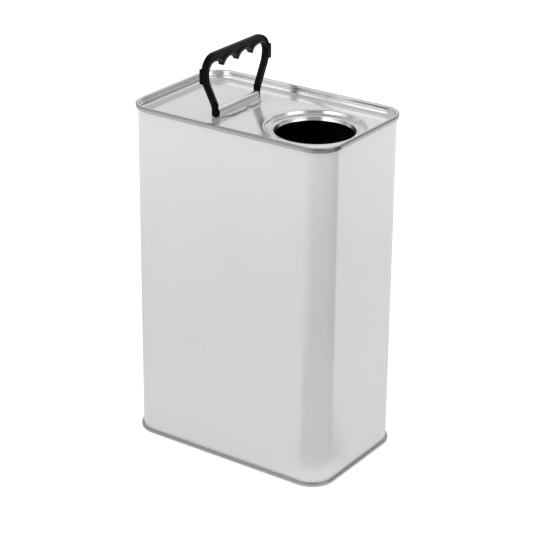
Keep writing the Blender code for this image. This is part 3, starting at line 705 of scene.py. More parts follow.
def rounded(corners, radius, steps=4):
    """A polygon, anticlockwise, whose outward corners are circle arcs of one radius."""
    corners = np.array(corners, float)
    after = unit(np.roll(corners, -1, axis=0) - corners)
    before = np.roll(after, 1, axis=0)
    turn = before[:, 0] * after[:, 1] - before[:, 1] * after[:, 0]
    s = np.linspace(0, 1, steps + 1)[None, :, None]
    blend = corners[:, None] + radius * (
        -before[:, None] * (1 - s) ** 2 + after[:, None] * s**2
    ) * np.abs(turn)[:, None, None]
    return blend.reshape(-1, 2)


def foot_outline(handle, bracket):
    """The foot seen along the hinge: two upright sides, and under them an arc about the hinge that is
    cut off level a little above its lowest point."""
    face, radius = handle.thickness / 2 + handle.foot_proud, handle.foot_radius
    sole = radius - handle.foot_flat
    turn = math.degrees(math.acos(min(face / radius, 1)))
    cut = math.degrees(math.acos(sole / radius))
    level = bracket.tube + handle.inner_clear
    ends = ((180 + turn, 270 - cut), (270 + cut, 360 - turn))
    low = np.vstack([arc((0, 0), radius, start, end, 8) for start, end in ends])
    right = run(low[-1], (face, level), 4)
    left = run((-face, level), low[0], 4)
    return np.vstack((low, right, (face, level), (-face, level), left))


def lug_grid(handle):
    """The back lug as a slotted outline in plan, carried up z with rounded ends."""
    half = handle.thickness / 2 + handle.lug_face
    out = handle.leg_outer + handle.lug_proud
    back = out - handle.lug_depth
    slot, deep = handle.lug_slot_half, out - handle.lug_slot
    right = np.array(((half, back), (half, out), (slot, out), (slot, deep)))
    corners = np.vstack((right, right[::-1] * (-1, 1)))
    top = handle.height - handle.lug_drop
    return plate_rings(rounded(corners, handle.lug_edge), top - handle.lug_height, top, handle.lug_bevel)


def flange_reach(bracket, y):
    """Reach of the flange from the hinge axis: the full reach less a parabola at each cut corner, the V
    notch's two slopes, and sines of several lengths for the rough shear cut."""
    long = bracket.length - 2 * bracket.relief
    along = np.clip(y + long / 2, 0, long)
    corner = bracket.corner_cut * np.maximum(1 - along / bracket.corner_run, 0) ** 2
    corner = corner + bracket.back_cut * np.maximum(1 - (long - along) / bracket.back_run, 0) ** 2
    away = np.abs(along - bracket.notch_place * long) / bracket.notch_half
    notch = bracket.notch * np.maximum(1 - away, 0)
    waves = sum(
        size * (1 + np.sin(2 * np.pi * count * along / long + start)) for size, count, start in SHEAR_WAVES
    )
    return bracket.flange - corner - notch - bracket.rough * waves


def strap_section(bracket):
    """Centre line of the strap as (x, height) about the hinge: along the lower layer, round the tube
    to the fold, and out along the upper layer."""
    turn = bracket.tube - bracket.sheet / 2
    upper = -turn + bracket.sheet + bracket.layer_gap
    fold_angle = 15.0
    tube = arc((0, 0), turn, 270, -fold_angle, 60)
    slope = math.radians(fold_angle)
    dip = bracket.fold * (1 + math.sin(slope))
    fall = tube[-1, 1] - upper
    fold_x = tube[-1, 0] - (fall - dip) * math.tan(slope) + bracket.fold * math.cos(slope)
    fold = arc((fold_x, upper + bracket.fold), bracket.fold, 180 + fold_angle, 270, 10)
    root = bracket.tube + bracket.fold
    end = np.array((bracket.flange, -turn))
    flat = np.linspace(end, (root, -turn), 8)
    top = np.linspace((root + RING_STEP, upper), (bracket.flange, upper), 14)
    return np.vstack((flat, tube, fold, top))


def bracket_grid(bracket):
    """The strap's section carried along y. Past the root, x is stretched to the flange's reach there,
    and the weld spots and hammer marks press the flange down by small bell curves."""
    section = sheet_loop(strap_section(bracket), bracket.sheet)
    half, end = bracket.length / 2, bracket.length / 2 - bracket.relief
    tail = np.array((end + HAIR, half - RING_STEP, half))
    y = np.concatenate((-tail[::-1], np.linspace(-end, end, 221), tail))
    root = bracket.tube + bracket.fold
    reach = np.where(np.abs(y) <= end, flange_reach(bracket, y), root + RING_STEP / 2)
    x, z = np.broadcast_to(section[:, 0], (len(y), len(section))), section[:, 1]
    past = np.maximum(x - root, 0) / (bracket.flange - root)
    out = np.where(x > root, root + past * (reach[:, None] - root), x)
    low = np.broadcast_to(z, out.shape).copy()
    long = 2 * end
    wide = np.broadcast_to(y[:, None], out.shape)
    for place_y, place_x, size, deep in WELD_SPOTS:
        spot = (wide - place_y * long) ** 2 + (out - place_x * bracket.tube - SPOT_START) ** 2
        press = spot / (size * MILLIMETRE) ** 2
        low -= deep * MILLIMETRE * np.exp(-press) * (1 - SPOT_RING * press) * (past > 0)
    low += sum(rise * past * np.sin(rate * wide + start) for rise, rate, start in FLANGE_WAVES)
    return np.stack((out, wide, low), axis=2)


def strap_wear_and_shadow(grid, bracket):
    """The strap's rubbing and painted shadow: the tube is burnished, the flange isn't, and the flange's
    cut edge, the last point of each row, carries a painted shadow of the gap under it, darker toward
    the front."""
    x, y = grid[..., 0], grid[..., 1]
    flange = np.clip((x - HINGE[0] - bracket.tube - bracket.fold) / bracket.fold, 0, 1)
    cut = (x >= x.max(axis=1, keepdims=True) - HAIR) & (flange == 1)
    # Painted shadow on the cut edge, darker toward the front.
    return np.where(cut, CUT_EDGE_SHADOW - CUT_EDGE_SHADOW_SLOPE * y, WALL_RUB * (1 - flange))


def soft_waves(x, y):
    """Waves between -1 and 1 over a panel: a mean of three products of sines of x and y."""
    return (
        np.sin(38 * x + 0.6) * np.cos(47 * y - 0.4)
        + np.cos(71 * x - 31 * y + 1.1)
        + np.sin(23 * x + 64 * y + 2.0)
    ) / 3


def top_rings(outline, can, end, mouth):
    """The top end as one closed grid: edge, panel and mouth on the upper skin, and back on the lower.

    An edge ring is the outline at its distance outward. A mouth ring is the circle point that lies
    in the outline point's direction from the mouth's centre. A panel ring is a share of each, and
    its height carries the soft waves, which fade to nothing at both ends.
    """
    edge = np.vstack((end_seam(can, can.top_seam, can.top_gap), top_wall(can, end)))
    circle = mouth_section(can, end, mouth)
    up = np.array((0, can.height))
    centre = np.array((can.width / 2 - mouth.margin - mouth.ledge - mouth.radius, 0))
    ray = unit(outline.rings(np.array(((0.0, 0.0),)))[0, :, :2] - centre)
    s = np.array(PANEL_RINGS)
    skins = []
    for side in (1, -1):
        edge_path = offset(edge * (1, -1) + up, side * can.sheet / 2)
        mouth_path = offset(circle * (1, -1) + up, side * can.sheet / 2)
        edges = outline.rings(edge_path)
        mouths = raised(centre + ray * mouth_path[:, 0, None, None], mouth_path[:, 1])
        panel = edges[-1] + (mouths[0] - edges[-1]) * s[:, None, None]
        fade = np.sin(np.pi * s)[:, None] ** 0.5
        panel[..., 2] += end.panel_wave * fade * soft_waves(panel[..., 0], panel[..., 1])
        skins.append(np.concatenate((edges, panel, mouths)))
    return np.concatenate((skins[0], skins[1][::-1]))


def base_rings(outline, can, end):
    """The base end's two skins, each from its seam to a small middle: the edge's rings, the step as
    a smooth rise 3 s^2 - 2 s^3, and rings that shrink with their corners."""
    wall = seam_layers(can, can.base_gap)["chuck"]
    panel = end.base_recess + can.sheet / 2
    foot = arc((wall - end.base_foot, panel - end.base_foot), end.base_foot, 0, 90, 8)
    edge = np.vstack((end_seam(can, can.base_seam, can.base_gap), foot))
    s = np.linspace(0, 1, 11)
    middle, middle_corner = np.array(BASE_MIDDLE).T
    outward = np.concatenate((-end.step_inset - end.step_run * s, middle))
    rise = np.concatenate((end.step_rise * (3 * s**2 - 2 * s**3), np.full(len(middle), end.step_rise)))
    corner = np.concatenate((end.step_corner - end.step_run * s, middle_corner))
    skins = []
    for side in (1, -1):
        path = offset(edge, side * can.sheet / 2)
        lift = path[-1, 1] - panel
        near = np.array(((path[-1, 0] - 2 * RING_STEP, path[-1, 1]),))
        inner = np.column_stack((outward, panel + rise + lift))
        skins.append(
            np.concatenate((outline.rings(path), outline.rings(near), outline.rings(inner, corner)))
        )
    return np.concatenate((skins[0][::-1], skins[1]))


def body_rings(outline, can):
    """The body as one closed grid: its hooks and wall out on one skin and back on the other.

    Each wall is drawn in by bow sin(pi h) times the outline's middle-of-side curve, with h the share
    of the height, and two small dents are bell curves.
    """
    top = body_hook(can, can.top_seam, can.top_gap) * (1, -1) + (0, can.height)
    base = body_hook(can, can.base_seam, can.base_gap)[::-1]
    path = np.vstack((base, run(base[-1], top[0], 60), top))
    grid = outline.rings(sheet_loop(path, can.sheet))
    free = can.height - 2 * (can.base_seam + can.top_seam)
    h = np.clip((grid[..., 2] - can.base_seam * 2) / free, 0, 1)
    draw = can.wall_bow * np.sin(np.pi * h) * outline.middle_of_side()
    for x, y, z, size, deep in DENTS:
        away = ((grid - (x, y, z)) ** 2).sum(axis=2) / size**2
        draw = draw + deep * np.exp(-away)
    grid[..., :2] -= draw[..., None] * outline.d
    return grid


class Graph:
    """A node tree that is filled one node at a time."""

    def __init__(self, tree):
        self.tree = tree

    def add(self, kind, inputs=None, **settings):
        """Makes a node with its settings. An input is a value, or another node's output."""
        node = self.tree.nodes.new(kind)
        for key, value in settings.items():
            setattr(node, key, value)
        for key, value in (inputs or {}).items():
            if isinstance(value, bpy.types.NodeSocket):
                self.tree.links.new(value, node.inputs[key])
            else:
                node.inputs[key].default_value = value
        return node

    def maths(self, operation, first, second=0.0, third=0.0):
        """The output of a Math node."""
        return self.add("ShaderNodeMath", {0: first, 1: second, 2: third}, operation=operation).outputs[0]

    def blend(self, first, second, third):
        """The first value times the second, plus the third."""
        return self.maths("MULTIPLY_ADD", first, second, third)

    def times(self, first, second):
        """The product of two values."""
        return self.maths("MULTIPLY", first, second)

    def spread(self, value, low, high, new_low, new_high):
        """A value mapped from one range to another, and held inside it."""
        inputs = {"Value": value, "From Min": low, "From Max": high, "To Min": new_low, "To Max": new_high}
        return self.add("ShaderNodeMapRange", inputs).outputs["Result"]

    def noise(self, vector, scale, detail=3.0, roughness=0.5):
        """The factor of a noise texture."""
        inputs = {"Vector": vector, "Scale": scale, "Detail": detail, "Roughness": roughness}
        return self.add("ShaderNodeTexNoise", inputs).outputs["Fac"]

    def stretched(self, vector, scale):
        """A vector scaled by its own amount along each axis."""
        return self.add("ShaderNodeMapping", {"Vector": vector, "Scale": scale}).outputs["Vector"]

    def scaled(self, vector, scale):
        """A vector or a colour times a number."""
        return self.add("ShaderNodeVectorMath", {0: vector, "Scale": scale}, operation="SCALE").outputs[0]

    def group(self, tree, **inputs):
        """The outputs of a node group."""
        return self.add("ShaderNodeGroup", inputs, node_tree=tree).outputs

    def wear(self):
        """The mesh's rubbing, painted shade and painted highlight, from its point attribute."""
        return self.add("ShaderNodeAttribute", attribute_name="wear").outputs["Fac"]

    def feed(self, shader, **values):
        """Links values to the shader's sockets. A name has underscores for its spaces."""
        for key, value in values.items():
            self.tree.links.new(value, shader.inputs[key.replace("_", " ")])

    def bump(self, height, distance):
        """The normal for a height in metres times distance."""
        return self.add("ShaderNodeBump", {"Height": height, "Distance": distance}).outputs["Normal"]


def group_tree(name, inputs, outputs):
    """A node group with named float sockets, a Vector first, and its inner input and output nodes."""
    tree = bpy.data.node_groups.new(name, "ShaderNodeTree")
    tree.interface.new_socket(name="Vector", in_out="INPUT", socket_type="NodeSocketVector")
    for label, default in inputs:
        socket = tree.interface.new_socket(name=label, in_out="INPUT", socket_type="NodeSocketFloat")
        socket.default_value = default
    for label in outputs:
        tree.interface.new_socket(name=label, in_out="OUTPUT", socket_type="NodeSocketFloat")
    graph = Graph(tree)
    return graph, graph.add("NodeGroupInput").outputs, graph.add("NodeGroupOutput").inputs


def rolled_grain():
    """Rolling lines and cloudy patches of cold-rolled sheet: noise stretched along x, and wide noise."""
    found = bpy.data.node_groups.get("rolled_grain")
    if found:
        return found
    graph, given, made = group_tree(
        "rolled_grain", (("Lines", 1.0), ("Clouds", 1.0)), ("Shade", "Gloss", "Height")
    )
    vector = given["Vector"]
    lines = graph.noise(graph.stretched(vector, (18.0, 1700.0, 60.0)), 1.0, 4.0, 0.6)
    fine = graph.noise(graph.stretched(vector, (60.0, 5200.0, 160.0)), 1.0, 2.0, 0.5)
    clouds = graph.noise(vector, 34.0, 4.0, 0.55)
    both = graph.blend(fine, 0.5, graph.times(lines, 0.5))
    line_part = graph.times(graph.maths("SUBTRACT", both, 0.5), given["Lines"])
    cloud_part = graph.times(graph.maths("SUBTRACT", clouds, 0.5), given["Clouds"])
    shade = graph.blend(line_part, 0.1, graph.blend(cloud_part, 0.06, 1.0))
    gloss = graph.blend(line_part, 0.08, graph.times(cloud_part, 0.08))
    for label, value in (("Shade", shade), ("Gloss", gloss), ("Height", line_part)):
        graph.tree.links.new(value, made[label])
    return graph.tree


def handling_marks():
    """Scuffs, hairline scratches and dust: the thin middle of two stretched noises, under a patchy mask."""
    found = bpy.data.node_groups.get("handling_marks")
    if found:
        return found
    graph, given, made = group_tree("handling_marks", (("Scale", 1.0), ("Amount", 0.5)), ("Mask", "Height"))
    vector = graph.scaled(given["Vector"], given["Scale"])
    scratches = None
    for turn, scale in ((0.5, (9.0, 260.0, 260.0)), (-0.9, (260.0, 11.0, 260.0)), (1.9, (240.0, 260.0, 8.0))):
        turned = graph.add("ShaderNodeMapping", {"Vector": vector, "Rotation": (turn, turn, turn)})
        thin = graph.noise(graph.stretched(turned.outputs[0], scale), 1.0, 1.0, 0.4)
        near = graph.maths("ABSOLUTE", graph.maths("SUBTRACT", thin, 0.5))
        line = graph.spread(near, 0.0, 0.012, 1.0, 0.0)
        scratches = line if scratches is None else graph.maths("MAXIMUM", scratches, line)
    patches = graph.spread(graph.noise(vector, 22.0, 3.0), 0.54, 0.68, 0.0, 1.0)
    scuffs = graph.spread(graph.noise(vector, 310.0, 2.0), 0.6, 0.72, 0.0, 0.5)
    mask = graph.times(graph.maths("MAXIMUM", scratches, scuffs), patches)
    mask = graph.times(mask, given["Amount"])
    graph.tree.links.new(mask, made["Mask"])
    graph.tree.links.new(mask, made["Height"])
    return graph.tree


def new_finish(name, **sockets):
    """A material whose Principled BSDF has its plain values set, with its graph and place vector."""
    made = bpy.data.materials.new(name)
    made.use_nodes = True
    graph = Graph(made.node_tree)
    shader = made.node_tree.nodes["Principled BSDF"]
    for key, value in sockets.items():
        shader.inputs[key.replace("_", " ")].default_value = value
    vector = graph.add("ShaderNodeTexCoord").outputs["Object"]
    return made, graph, shader, vector


def tin_finish(name, rgb, mirror, roughness, lines, clouds, marks):
    """Bare tinplate: a mirror over a pale satin ground, whose shade and gloss follow its grain, dulled
    where it has been handled. The tools burnish it, and a painted shade darkens the seams' outside
    and the flange's cut edge."""
    made, graph, shader, vector = new_finish(name)
    grain = graph.group(rolled_grain(), Vector=vector, Lines=lines, Clouds=clouds)
    worn = graph.group(handling_marks(), Vector=vector, Amount=marks)
    worked_and_shaded = graph.wear()
    metal = graph.spread(worked_and_shaded, 0.0, WALL_RUB, mirror, BURNISHED)
    shade = graph.blend(worn["Mask"], -0.12, grain["Shade"])
    # Painted shade: past WALL_RUB the colour is darkened, on the seams' outside and the flange's cut edge.
    shade = graph.times(shade, graph.spread(worked_and_shaded, WALL_RUB, 1.0, 1.0, PAINTED_SHADE))
    gloss = graph.spread(worked_and_shaded, 0.0, WALL_RUB, roughness, BURNISHED_ROUGH)
    rough = graph.blend(worn["Mask"], 0.2, graph.maths("ADD", grain["Gloss"], gloss))
    height = graph.blend(worn["Height"], -0.5, grain["Height"])
    height = graph.times(height, graph.spread(worked_and_shaded, 0.0, WALL_RUB, 1.0, BURNISHED_GRAIN))
    normal = graph.bump(height, 0.000004)
    graph.feed(shader, Metallic=metal, Base_Color=graph.scaled(rgb, shade), Roughness=rough, Normal=normal)
    return made


def lacquer_finish(name, rgb):
    """White lacquer: satin, with a soft roller texture, faint marks and a touch less gloss in patches."""
    made, graph, shader, vector = new_finish(name, Metallic=0.24, Specular_IOR_Level=1.0)
    worn = graph.group(handling_marks(), Vector=vector, Amount=0.35)
    clouds = graph.noise(vector, 14.0, 4.0)
    pale, dull = graph.spread(clouds, 0.3, 0.7, 0.99, 1.01), graph.spread(clouds, 0.3, 0.7, 0.17, 0.23)
    shade = graph.blend(worn["Mask"], -0.1, pale)
    rough = graph.blend(worn["Mask"], 0.2, dull)
    peel = graph.blend(worn["Height"], -0.4, graph.noise(vector, 700.0, 2.0))
    normal = graph.bump(peel, 0.000012)
    graph.feed(shader, Base_Color=graph.scaled(rgb, shade), Roughness=rough, Normal=normal)
    return made


def plastic_finish(name, rgb):
    """Black moulded plastic: a fine spark-eroded skin, flow clouds in its gloss, and greyed scuffs. The
    web between the rims is paler than the rims' edges, and a painted highlight brightens the rims'
    inner corners as glints."""
    made, graph, shader, vector = new_finish(name, Specular_IOR_Level=0.06)
    worn = graph.group(handling_marks(), Vector=vector, Scale=2.2, Amount=0.8)
    speck = graph.spread(graph.noise(vector, 900.0, 2.0), 0.55, 0.7, 0.0, 1.0)
    shade = graph.blend(speck, 0.7, graph.blend(worn["Mask"], 1.6, 0.8))
    tone = graph.wear()
    web = graph.spread(tone, 0.0, 1.0, EDGE_SHADE, WEB_SHADE)
    # Painted highlight: glints on the rims' inner corners.
    rubbing_and_painted_light = graph.spread(tone, 1.0, 2.0, 0.0, PAINTED_GLINT)
    shade = graph.times(shade, graph.maths("ADD", web, rubbing_and_painted_light))
    clouds = graph.spread(graph.noise(vector, 120.0, 3.0), 0.3, 0.7, 0.24, 0.36)
    rough = graph.blend(worn["Mask"], 0.25, clouds)
    normal = graph.bump(graph.noise(vector, 1500.0, 3.0, 0.6), 0.00003)
    graph.feed(shader, Base_Color=graph.scaled(rgb, shade), Roughness=rough, Normal=normal)
    return made


def matt_finish(name, rgb, roughness):
    """A matt coating with small blotches and a grainy skin."""
    made, graph, shader, vector = new_finish(name, Specular_IOR_Level=0.3)
    blotch = graph.noise(vector, 160.0, 4.0)
    shade = graph.spread(blotch, 0.3, 0.7, 0.85, 1.15)
    rough = graph.spread(blotch, 0.3, 0.7, roughness - 0.06, roughness + 0.06)
    normal = graph.bump(graph.noise(vector, 1200.0, 3.0), 0.00002)
    graph.feed(shader, Base_Color=graph.scaled(rgb, shade), Roughness=rough, Normal=normal)
    return made


def finish(name, make, rgb, *values):
    """A finish by name, made once from its colour and values."""
    return bpy.data.materials.get(name) or make(name, tuple(rgb), *values)


def tin(scene):
    """The ends' finish."""
    return finish("bright_tinplate", tin_finish, scene.can_finish.tin, 0.55, 0.13, 1.0, 1.0, 0.15)


def lacquer(scene):
    """The body's finish."""
    return finish("satin_lacquer", lacquer_finish, scene.can_finish.lacquer)


def inner(scene):
    """The finish inside the can, near black as a painted shade."""
    return finish("dark_lining", matt_finish, scene.can_finish.inside, 0.5)


class CAN_OT_body(Operator):
    """Makes the body: a bowed, hooked wall with its lining, near black inside as a painted shade"""

    bl_idname = "tin_can.body"
    bl_label = "Body"

    def execute(self, context):
        scene = context.scene
        can = scene.can_sizes
        grid = body_rings(Outline(can), can)
        lined = (0, len(grid) // 2)
        made = add_surface("can_wall", grid, lacquer(scene), along=True, lining=inner(scene), lined=lined)
        place(made, "can", "white_lacquer", "body_shell")
        return {"FINISHED"}


class CAN_OT_weld(Operator):
    """Makes the side weld: a low ridge up the back with a row of weld ripples"""

    bl_idname = "tin_can.weld"
    bl_label = "Side weld"

    def execute(self, context):
        scene = context.scene
        can = scene.can_sizes
        low, high = can.base_seam + can.weld_gap, can.height - can.top_seam - can.weld_gap
        z = np.linspace(low, high, 500)
        a = np.linspace(0, np.pi, 9)
        bow = can.wall_bow * np.sin(np.pi * np.linspace(0, 1, 500))
        ripple = np.cos(2 * np.pi * z / can.weld_pitch)
        rise = can.weld_rise * (1 - WELD_RIPPLE + WELD_RIPPLE * ripple)
        across = np.concatenate((np.cos(a) * WELD_HALF, (-WELD_HALF, WELD_HALF)))
        up = np.concatenate((np.sin(a) ** 0.5, (-WELD_ROOT, -WELD_ROOT)))
        x = np.broadcast_to(across * can.weld_width, (len(z), len(across)))
        y = can.depth / 2 - bow[:, None] + rise[:, None] * up
        grid = np.stack((x, y, np.broadcast_to(z[:, None], x.shape)), axis=2)
        place(add_surface("side_weld", grid, lacquer(scene), caps=True), "can", "white_lacquer")
        return {"FINISHED"}


class CAN_OT_top(Operator):
    """Makes the top end: its seam, chuck wall, panel and mouth in one sheet"""

    bl_idname = "tin_can.top"
    bl_label = "Top end"

    def execute(self, context):
        scene = context.scene
        can = scene.can_sizes
        grid = top_rings(Outline(can, 24, 60, 40), can, scene.end_sizes, scene.mouth_sizes)
        made = add_surface(
            "top_sheet", grid, tin(scene), along=True, lining=inner(scene), lined=(0, len(grid) // 2),
            wear=tooling_and_seam_shade(grid, can, can.height, can.top_seam),
        )
        place(made, "can", "tinplate", "top_end")
        return {"FINISHED"}


class CAN_OT_base(Operator):
    """Makes the base end: its seam, wall and stepped panel"""

    bl_idname = "tin_can.base"
    bl_label = "Base end"

    def execute(self, context):
        scene = context.scene
        can = scene.can_sizes
        grid = base_rings(Outline(can), can, scene.end_sizes)
        rows = len(grid)
        made = add_surface(
            "base_sheet", grid, tin(scene), caps=True, lining=inner(scene), lined=(rows // 2, rows - 1),
            wear=tooling_and_seam_shade(grid, can, can.base_seam, can.base_seam),
        )
        place(made, "can", "tinplate", "base_end")
        return {"FINISHED"}


class CAN_OT_compounds(Operator):
    """Gives the lining compound in both seams its finish"""

    bl_idname = "tin_can.compounds"
    bl_label = "Seam compound"

    def execute(self, context):
        made = finish("lining_compound", matt_finish, context.scene.can_finish.compound, 0.7)
        for node in ("top_seam_compound", "base_seam_compound"):
            FRAME["nodes"][node].data.materials.clear()
            FRAME["nodes"][node].data.materials.append(made)
        return {"FINISHED"}


class CAN_OT_bracket(Operator):
    """Makes the rolled strap that carries the handle"""

    bl_idname = "tin_can.bracket"
    bl_label = "Handle bracket"

    def execute(self, context):
        scene = context.scene
        bracket = scene.bracket_sizes
        grid = bracket_grid(bracket) + np.array(HINGE)
        strap = finish("bright_strap", tin_finish, scene.can_finish.strap, 0.5, 0.2, 1.4, 1.2, 0.6)
        made = add_surface("rolled_strap", grid, strap, caps=True, wear=strap_wear_and_shadow(grid, bracket))
        place(made, "can", "bracket_tinplate", "handle_bracket")
        return {"FINISHED"}


class CAN_OT_handle(Operator):
    """Makes the handle: the ribbed bow, its two feet with their pegs, and its two lugs"""

    bl_idname = "tin_can.handle"
    bl_label = "Carry handle"

    def execute(self, context):
        scene = context.scene
        handle, bracket = scene.handle_sizes, scene.bracket_sizes
        plastic = finish("black_moulding", plastic_finish, scene.can_finish.plastic)
        near = foot_near(handle, bracket)
        far = near + handle.foot_thickness
        peg = bracket.tube - bracket.sheet - handle.peg_clear
        circle = arc((0, 0), peg, 0, 360, 40)[:-1]
        foot = plate_rings(foot_outline(handle, bracket), near, far, handle.foot_bevel)
        pin = plate_rings(circle, near - handle.peg_length, (near + far) / 2, handle.foot_bevel)
        ends = {"foot": foot[..., (0, 2, 1)], "peg": pin[..., (0, 2, 1)], "lug": lug_grid(handle)}
        bow, tone = handle_grid(handle, bracket)
        parts = [("handle_bow", bow, tone, ("carry_handle",))]
        for side, word in ((-1, "front"), (1, "back")):
            parts += [(f"{word}_{end}", grid * (1, side, 1), None, ()) for end, grid in ends.items()]
        turn = hinge_turn(handle.lean)
        for name, grid, tones, nodes in parts:
            made = add_surface(name, grid @ turn + np.array(HINGE), plastic, caps=True, wear=tones)
            place(made, "handle", "black_plastic", *nodes)
        return {"FINISHED"}


def softbox(name, place_at, wide, power):
    """A square lamp aimed high on the can, which reflections leave to the studio."""
    data = bpy.data.lights.new(name, "AREA")
    data.size, data.energy = wide, power
    lamp = bpy.data.objects.new(name, data)
    bpy.context.scene.collection.objects.link(lamp)
    lamp.location = place_at
    lamp.rotation_euler = (Vector(LAMP_AIM) - Vector(place_at)).to_track_quat("-Z", "Y").to_euler()
    lamp.visible_glossy = False


def pale_room(scene):
    """The world: white to the camera and in reflections, and a plain room light to matt surfaces."""
    world = bpy.data.worlds.new("pale_room")
    world.use_nodes = True
    graph = Graph(world.node_tree)
    background = world.node_tree.nodes["Background"]
    path = graph.add("ShaderNodeLightPath").outputs
    shown = graph.maths("MAXIMUM", path["Is Camera Ray"], path["Is Glossy Ray"])
    shown = graph.maths("MAXIMUM", shown, path["Is Transmission Ray"])
    background.inputs["Color"].default_value = (1, 1, 1, 1)
    graph.tree.links.new(graph.spread(shown, 0, 1, scene.can_stage.room, 1.0), background.inputs["Strength"])
    scene.world = world


def card_finish(name, greys, near, far, centre):
    """A studio surface that only reflections show: its grey goes round a centre by a ramp of stops
    (share of a turn from -X through -Y, grey), and it fades in between two distances from it."""
    made = bpy.data.materials.new(name)
    made.use_nodes = True
    graph = Graph(made.node_tree)
    made.node_tree.nodes.clear()
    vector = graph.add("ShaderNodeTexCoord").outputs["Object"]
    vector = graph.add("ShaderNodeMapping", {"Vector": vector, "Location": tuple(-centre)}).outputs["Vector"]
    turn = graph.add("ShaderNodeTexGradient", {"Vector": vector}, gradient_type="RADIAL").outputs["Fac"]
    ramp = graph.add("ShaderNodeValToRGB", {"Fac": turn})
    ramp.color_ramp.interpolation = "EASE"
    elements = ramp.color_ramp.elements
    for i, (place_at, grey) in enumerate(greys):
        stop = elements[i] if i < 2 else elements.new(place_at)
        stop.position, stop.color = place_at, (grey, grey, grey, 1)
    away = graph.add("ShaderNodeVectorMath", {0: vector}, operation="LENGTH").outputs["Value"]
    seen = graph.spread(away, near, far, 0.0, 1.0)
    glow = graph.add("ShaderNodeEmission", {"Color": ramp.outputs["Color"]})
    clear = graph.add("ShaderNodeBsdfTransparent")
    mixed = graph.add("ShaderNodeMixShader", {0: seen, 1: clear.outputs[0], 2: glow.outputs[0]})
    end = graph.add("ShaderNodeOutputMaterial")
    graph.tree.links.new(mixed.outputs[0], end.inputs["Surface"])
    return made


def circles(*rings):
    """Rings of a surface of revolution about Z, given as (radius, height)."""
    turn = np.linspace(0, 2 * np.pi, 97)[:-1]
    around = np.column_stack((np.cos(turn), np.sin(turn), np.zeros_like(turn)))
    return np.stack([around * (r, r, 0) + (0, 0, z) for r, z in rings])


def studio_card(card):
    """Shows a stage surface to reflections alone."""
    card.visible_camera = card.visible_diffuse = card.visible_shadow = False
    card.visible_transmission = card.visible_volume_scatter = False


def camera_frame(stage):
    """The camera's matrix: right, up and back vectors from its azimuth, elevation and roll."""
    sin_a, cos_a = math.sin(stage.azimuth), math.cos(stage.azimuth)
    sin_e, cos_e = math.sin(stage.elevation), math.cos(stage.elevation)
    right, back = Vector((cos_a, sin_a, 0)), Vector((sin_a * cos_e, -cos_a * cos_e, sin_e))
    up = back.cross(right)
    sin_r, cos_r = math.sin(stage.roll), math.cos(stage.roll)
    columns = (right * cos_r + up * sin_r, up * cos_r - right * sin_r, back)
    made = Matrix(columns).transposed().to_4x4()
    made.translation = Vector(stage.place)
    return made


class CAN_OT_stage(Operator):
    """Makes the floor, the pale room, the lamps, the studio for reflections and the camera"""

    bl_idname = "tin_can.stage"
    bl_label = "Stage"

    def execute(self, context):
        scene = context.scene
        stage = scene.can_stage
        floor = finish("studio_floor", floor_finish, stage.floor)
        corners = ((-1, -1), (1, -1), (1, 1), (-1, 1))
        square = [(x * FLOOR_HALF, y * FLOOR_HALF, -FLOOR_DROP) for x, y in corners]
        mesh = bpy.data.meshes.new("floor")
        mesh.from_pydata(square, [], [(0, 1, 2, 3)])
        mesh.materials.append(floor)
        ground = bpy.data.objects.new("floor", mesh)
        scene.collection.objects.link(ground)
        pale_room(scene)
        for name, place_at, wide, part in SOFTBOXES:
            softbox(name, place_at, wide, stage.key * part)
        can = scene.can_sizes
        centre = np.array((can.width / 2 - can.corner, can.corner - can.depth / 2, 0))
        for name, low, high, near, far, greys in STUDIO:
            card = card_finish(name, greys, near, far, centre)
            studio_card(add_surface(name, circles(low, high) + centre, card))
        data = bpy.data.cameras.new("camera")
        data.lens, data.sensor_width = stage.focal, 36.0
        data.clip_start, data.clip_end = 0.01, 50.0
        camera = bpy.data.objects.new("camera", data)
        scene.collection.objects.link(camera)
        camera.matrix_world = camera_frame(stage)
        scene.camera = camera
        scene.view_settings.view_transform = "Standard"
        return {"FINISHED"}


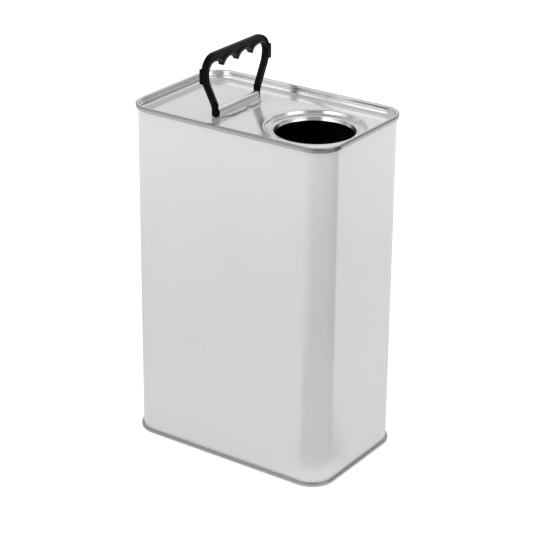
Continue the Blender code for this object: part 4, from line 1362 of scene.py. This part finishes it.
def floor_finish(name, rgb):
    """A matt white floor that the camera sees a little brighter, so that it runs into the background
    and keeps the shadow."""
    made, graph, shader, vector = new_finish(name, Roughness=0.9, Specular_IOR_Level=0.1)
    cloud = graph.spread(graph.noise(vector, 1.5, 2.0), 0.3, 0.7, 0.995, 1.005)
    path = graph.add("ShaderNodeLightPath").outputs
    shown = graph.maths("MAXIMUM", path["Is Camera Ray"], path["Is Transmission Ray"])
    shown = graph.blend(path["Is Glossy Ray"], 0.1, graph.times(shown, 0.4))
    shader.inputs["Emission Color"].default_value = (1, 1, 1, 1)
    graph.feed(shader, Base_Color=graph.scaled(rgb, cloud), Emission_Strength=shown)
    return made


PIECES = (
    CAN_OT_body, CAN_OT_weld, CAN_OT_top, CAN_OT_base, CAN_OT_compounds, CAN_OT_bracket, CAN_OT_handle,
)
GROUPS = (
    ("can_sizes", CanSizes),
    ("end_sizes", EndSizes),
    ("mouth_sizes", MouthSizes),
    ("bracket_sizes", BracketSizes),
    ("handle_sizes", HandleSizes),
    ("can_finish", FinishColours),
    ("can_stage", StageSizes),
)


class CAN_PT_panel(Panel):
    """The can's sizes, and one button for each piece and for the stage"""

    bl_idname = "CAN_PT_panel"
    bl_label = "Tin Can"
    bl_space_type = "VIEW_3D"
    bl_region_type = "UI"
    bl_category = "Tin Can"

    def draw(self, context):
        for operator in (*PIECES, CAN_OT_stage):
            self.layout.operator(operator.bl_idname)
        for name, group in GROUPS:
            box = self.layout.box()
            box.label(text=name.replace("_", " ").capitalize())
            for key in group.__annotations__:
                box.prop(getattr(context.scene, name), key)


def register():
    for name, group in GROUPS:
        bpy.utils.register_class(group)
        setattr(bpy.types.Scene, name, PointerProperty(type=group))
    for kind in (*PIECES, CAN_OT_stage, CAN_PT_panel):
        bpy.utils.register_class(kind)


def unregister():
    for kind in (CAN_PT_panel, CAN_OT_stage, *PIECES):
        bpy.utils.unregister_class(kind)
    for name, group in GROUPS:
        delattr(bpy.types.Scene, name)
        bpy.utils.unregister_class(group)


def main():
    register()
    for operator in (*PIECES, CAN_OT_stage):
        family, name = operator.bl_idname.split(".")
        getattr(getattr(bpy.ops, family), name)()


if __name__ == "__main__":
    main()
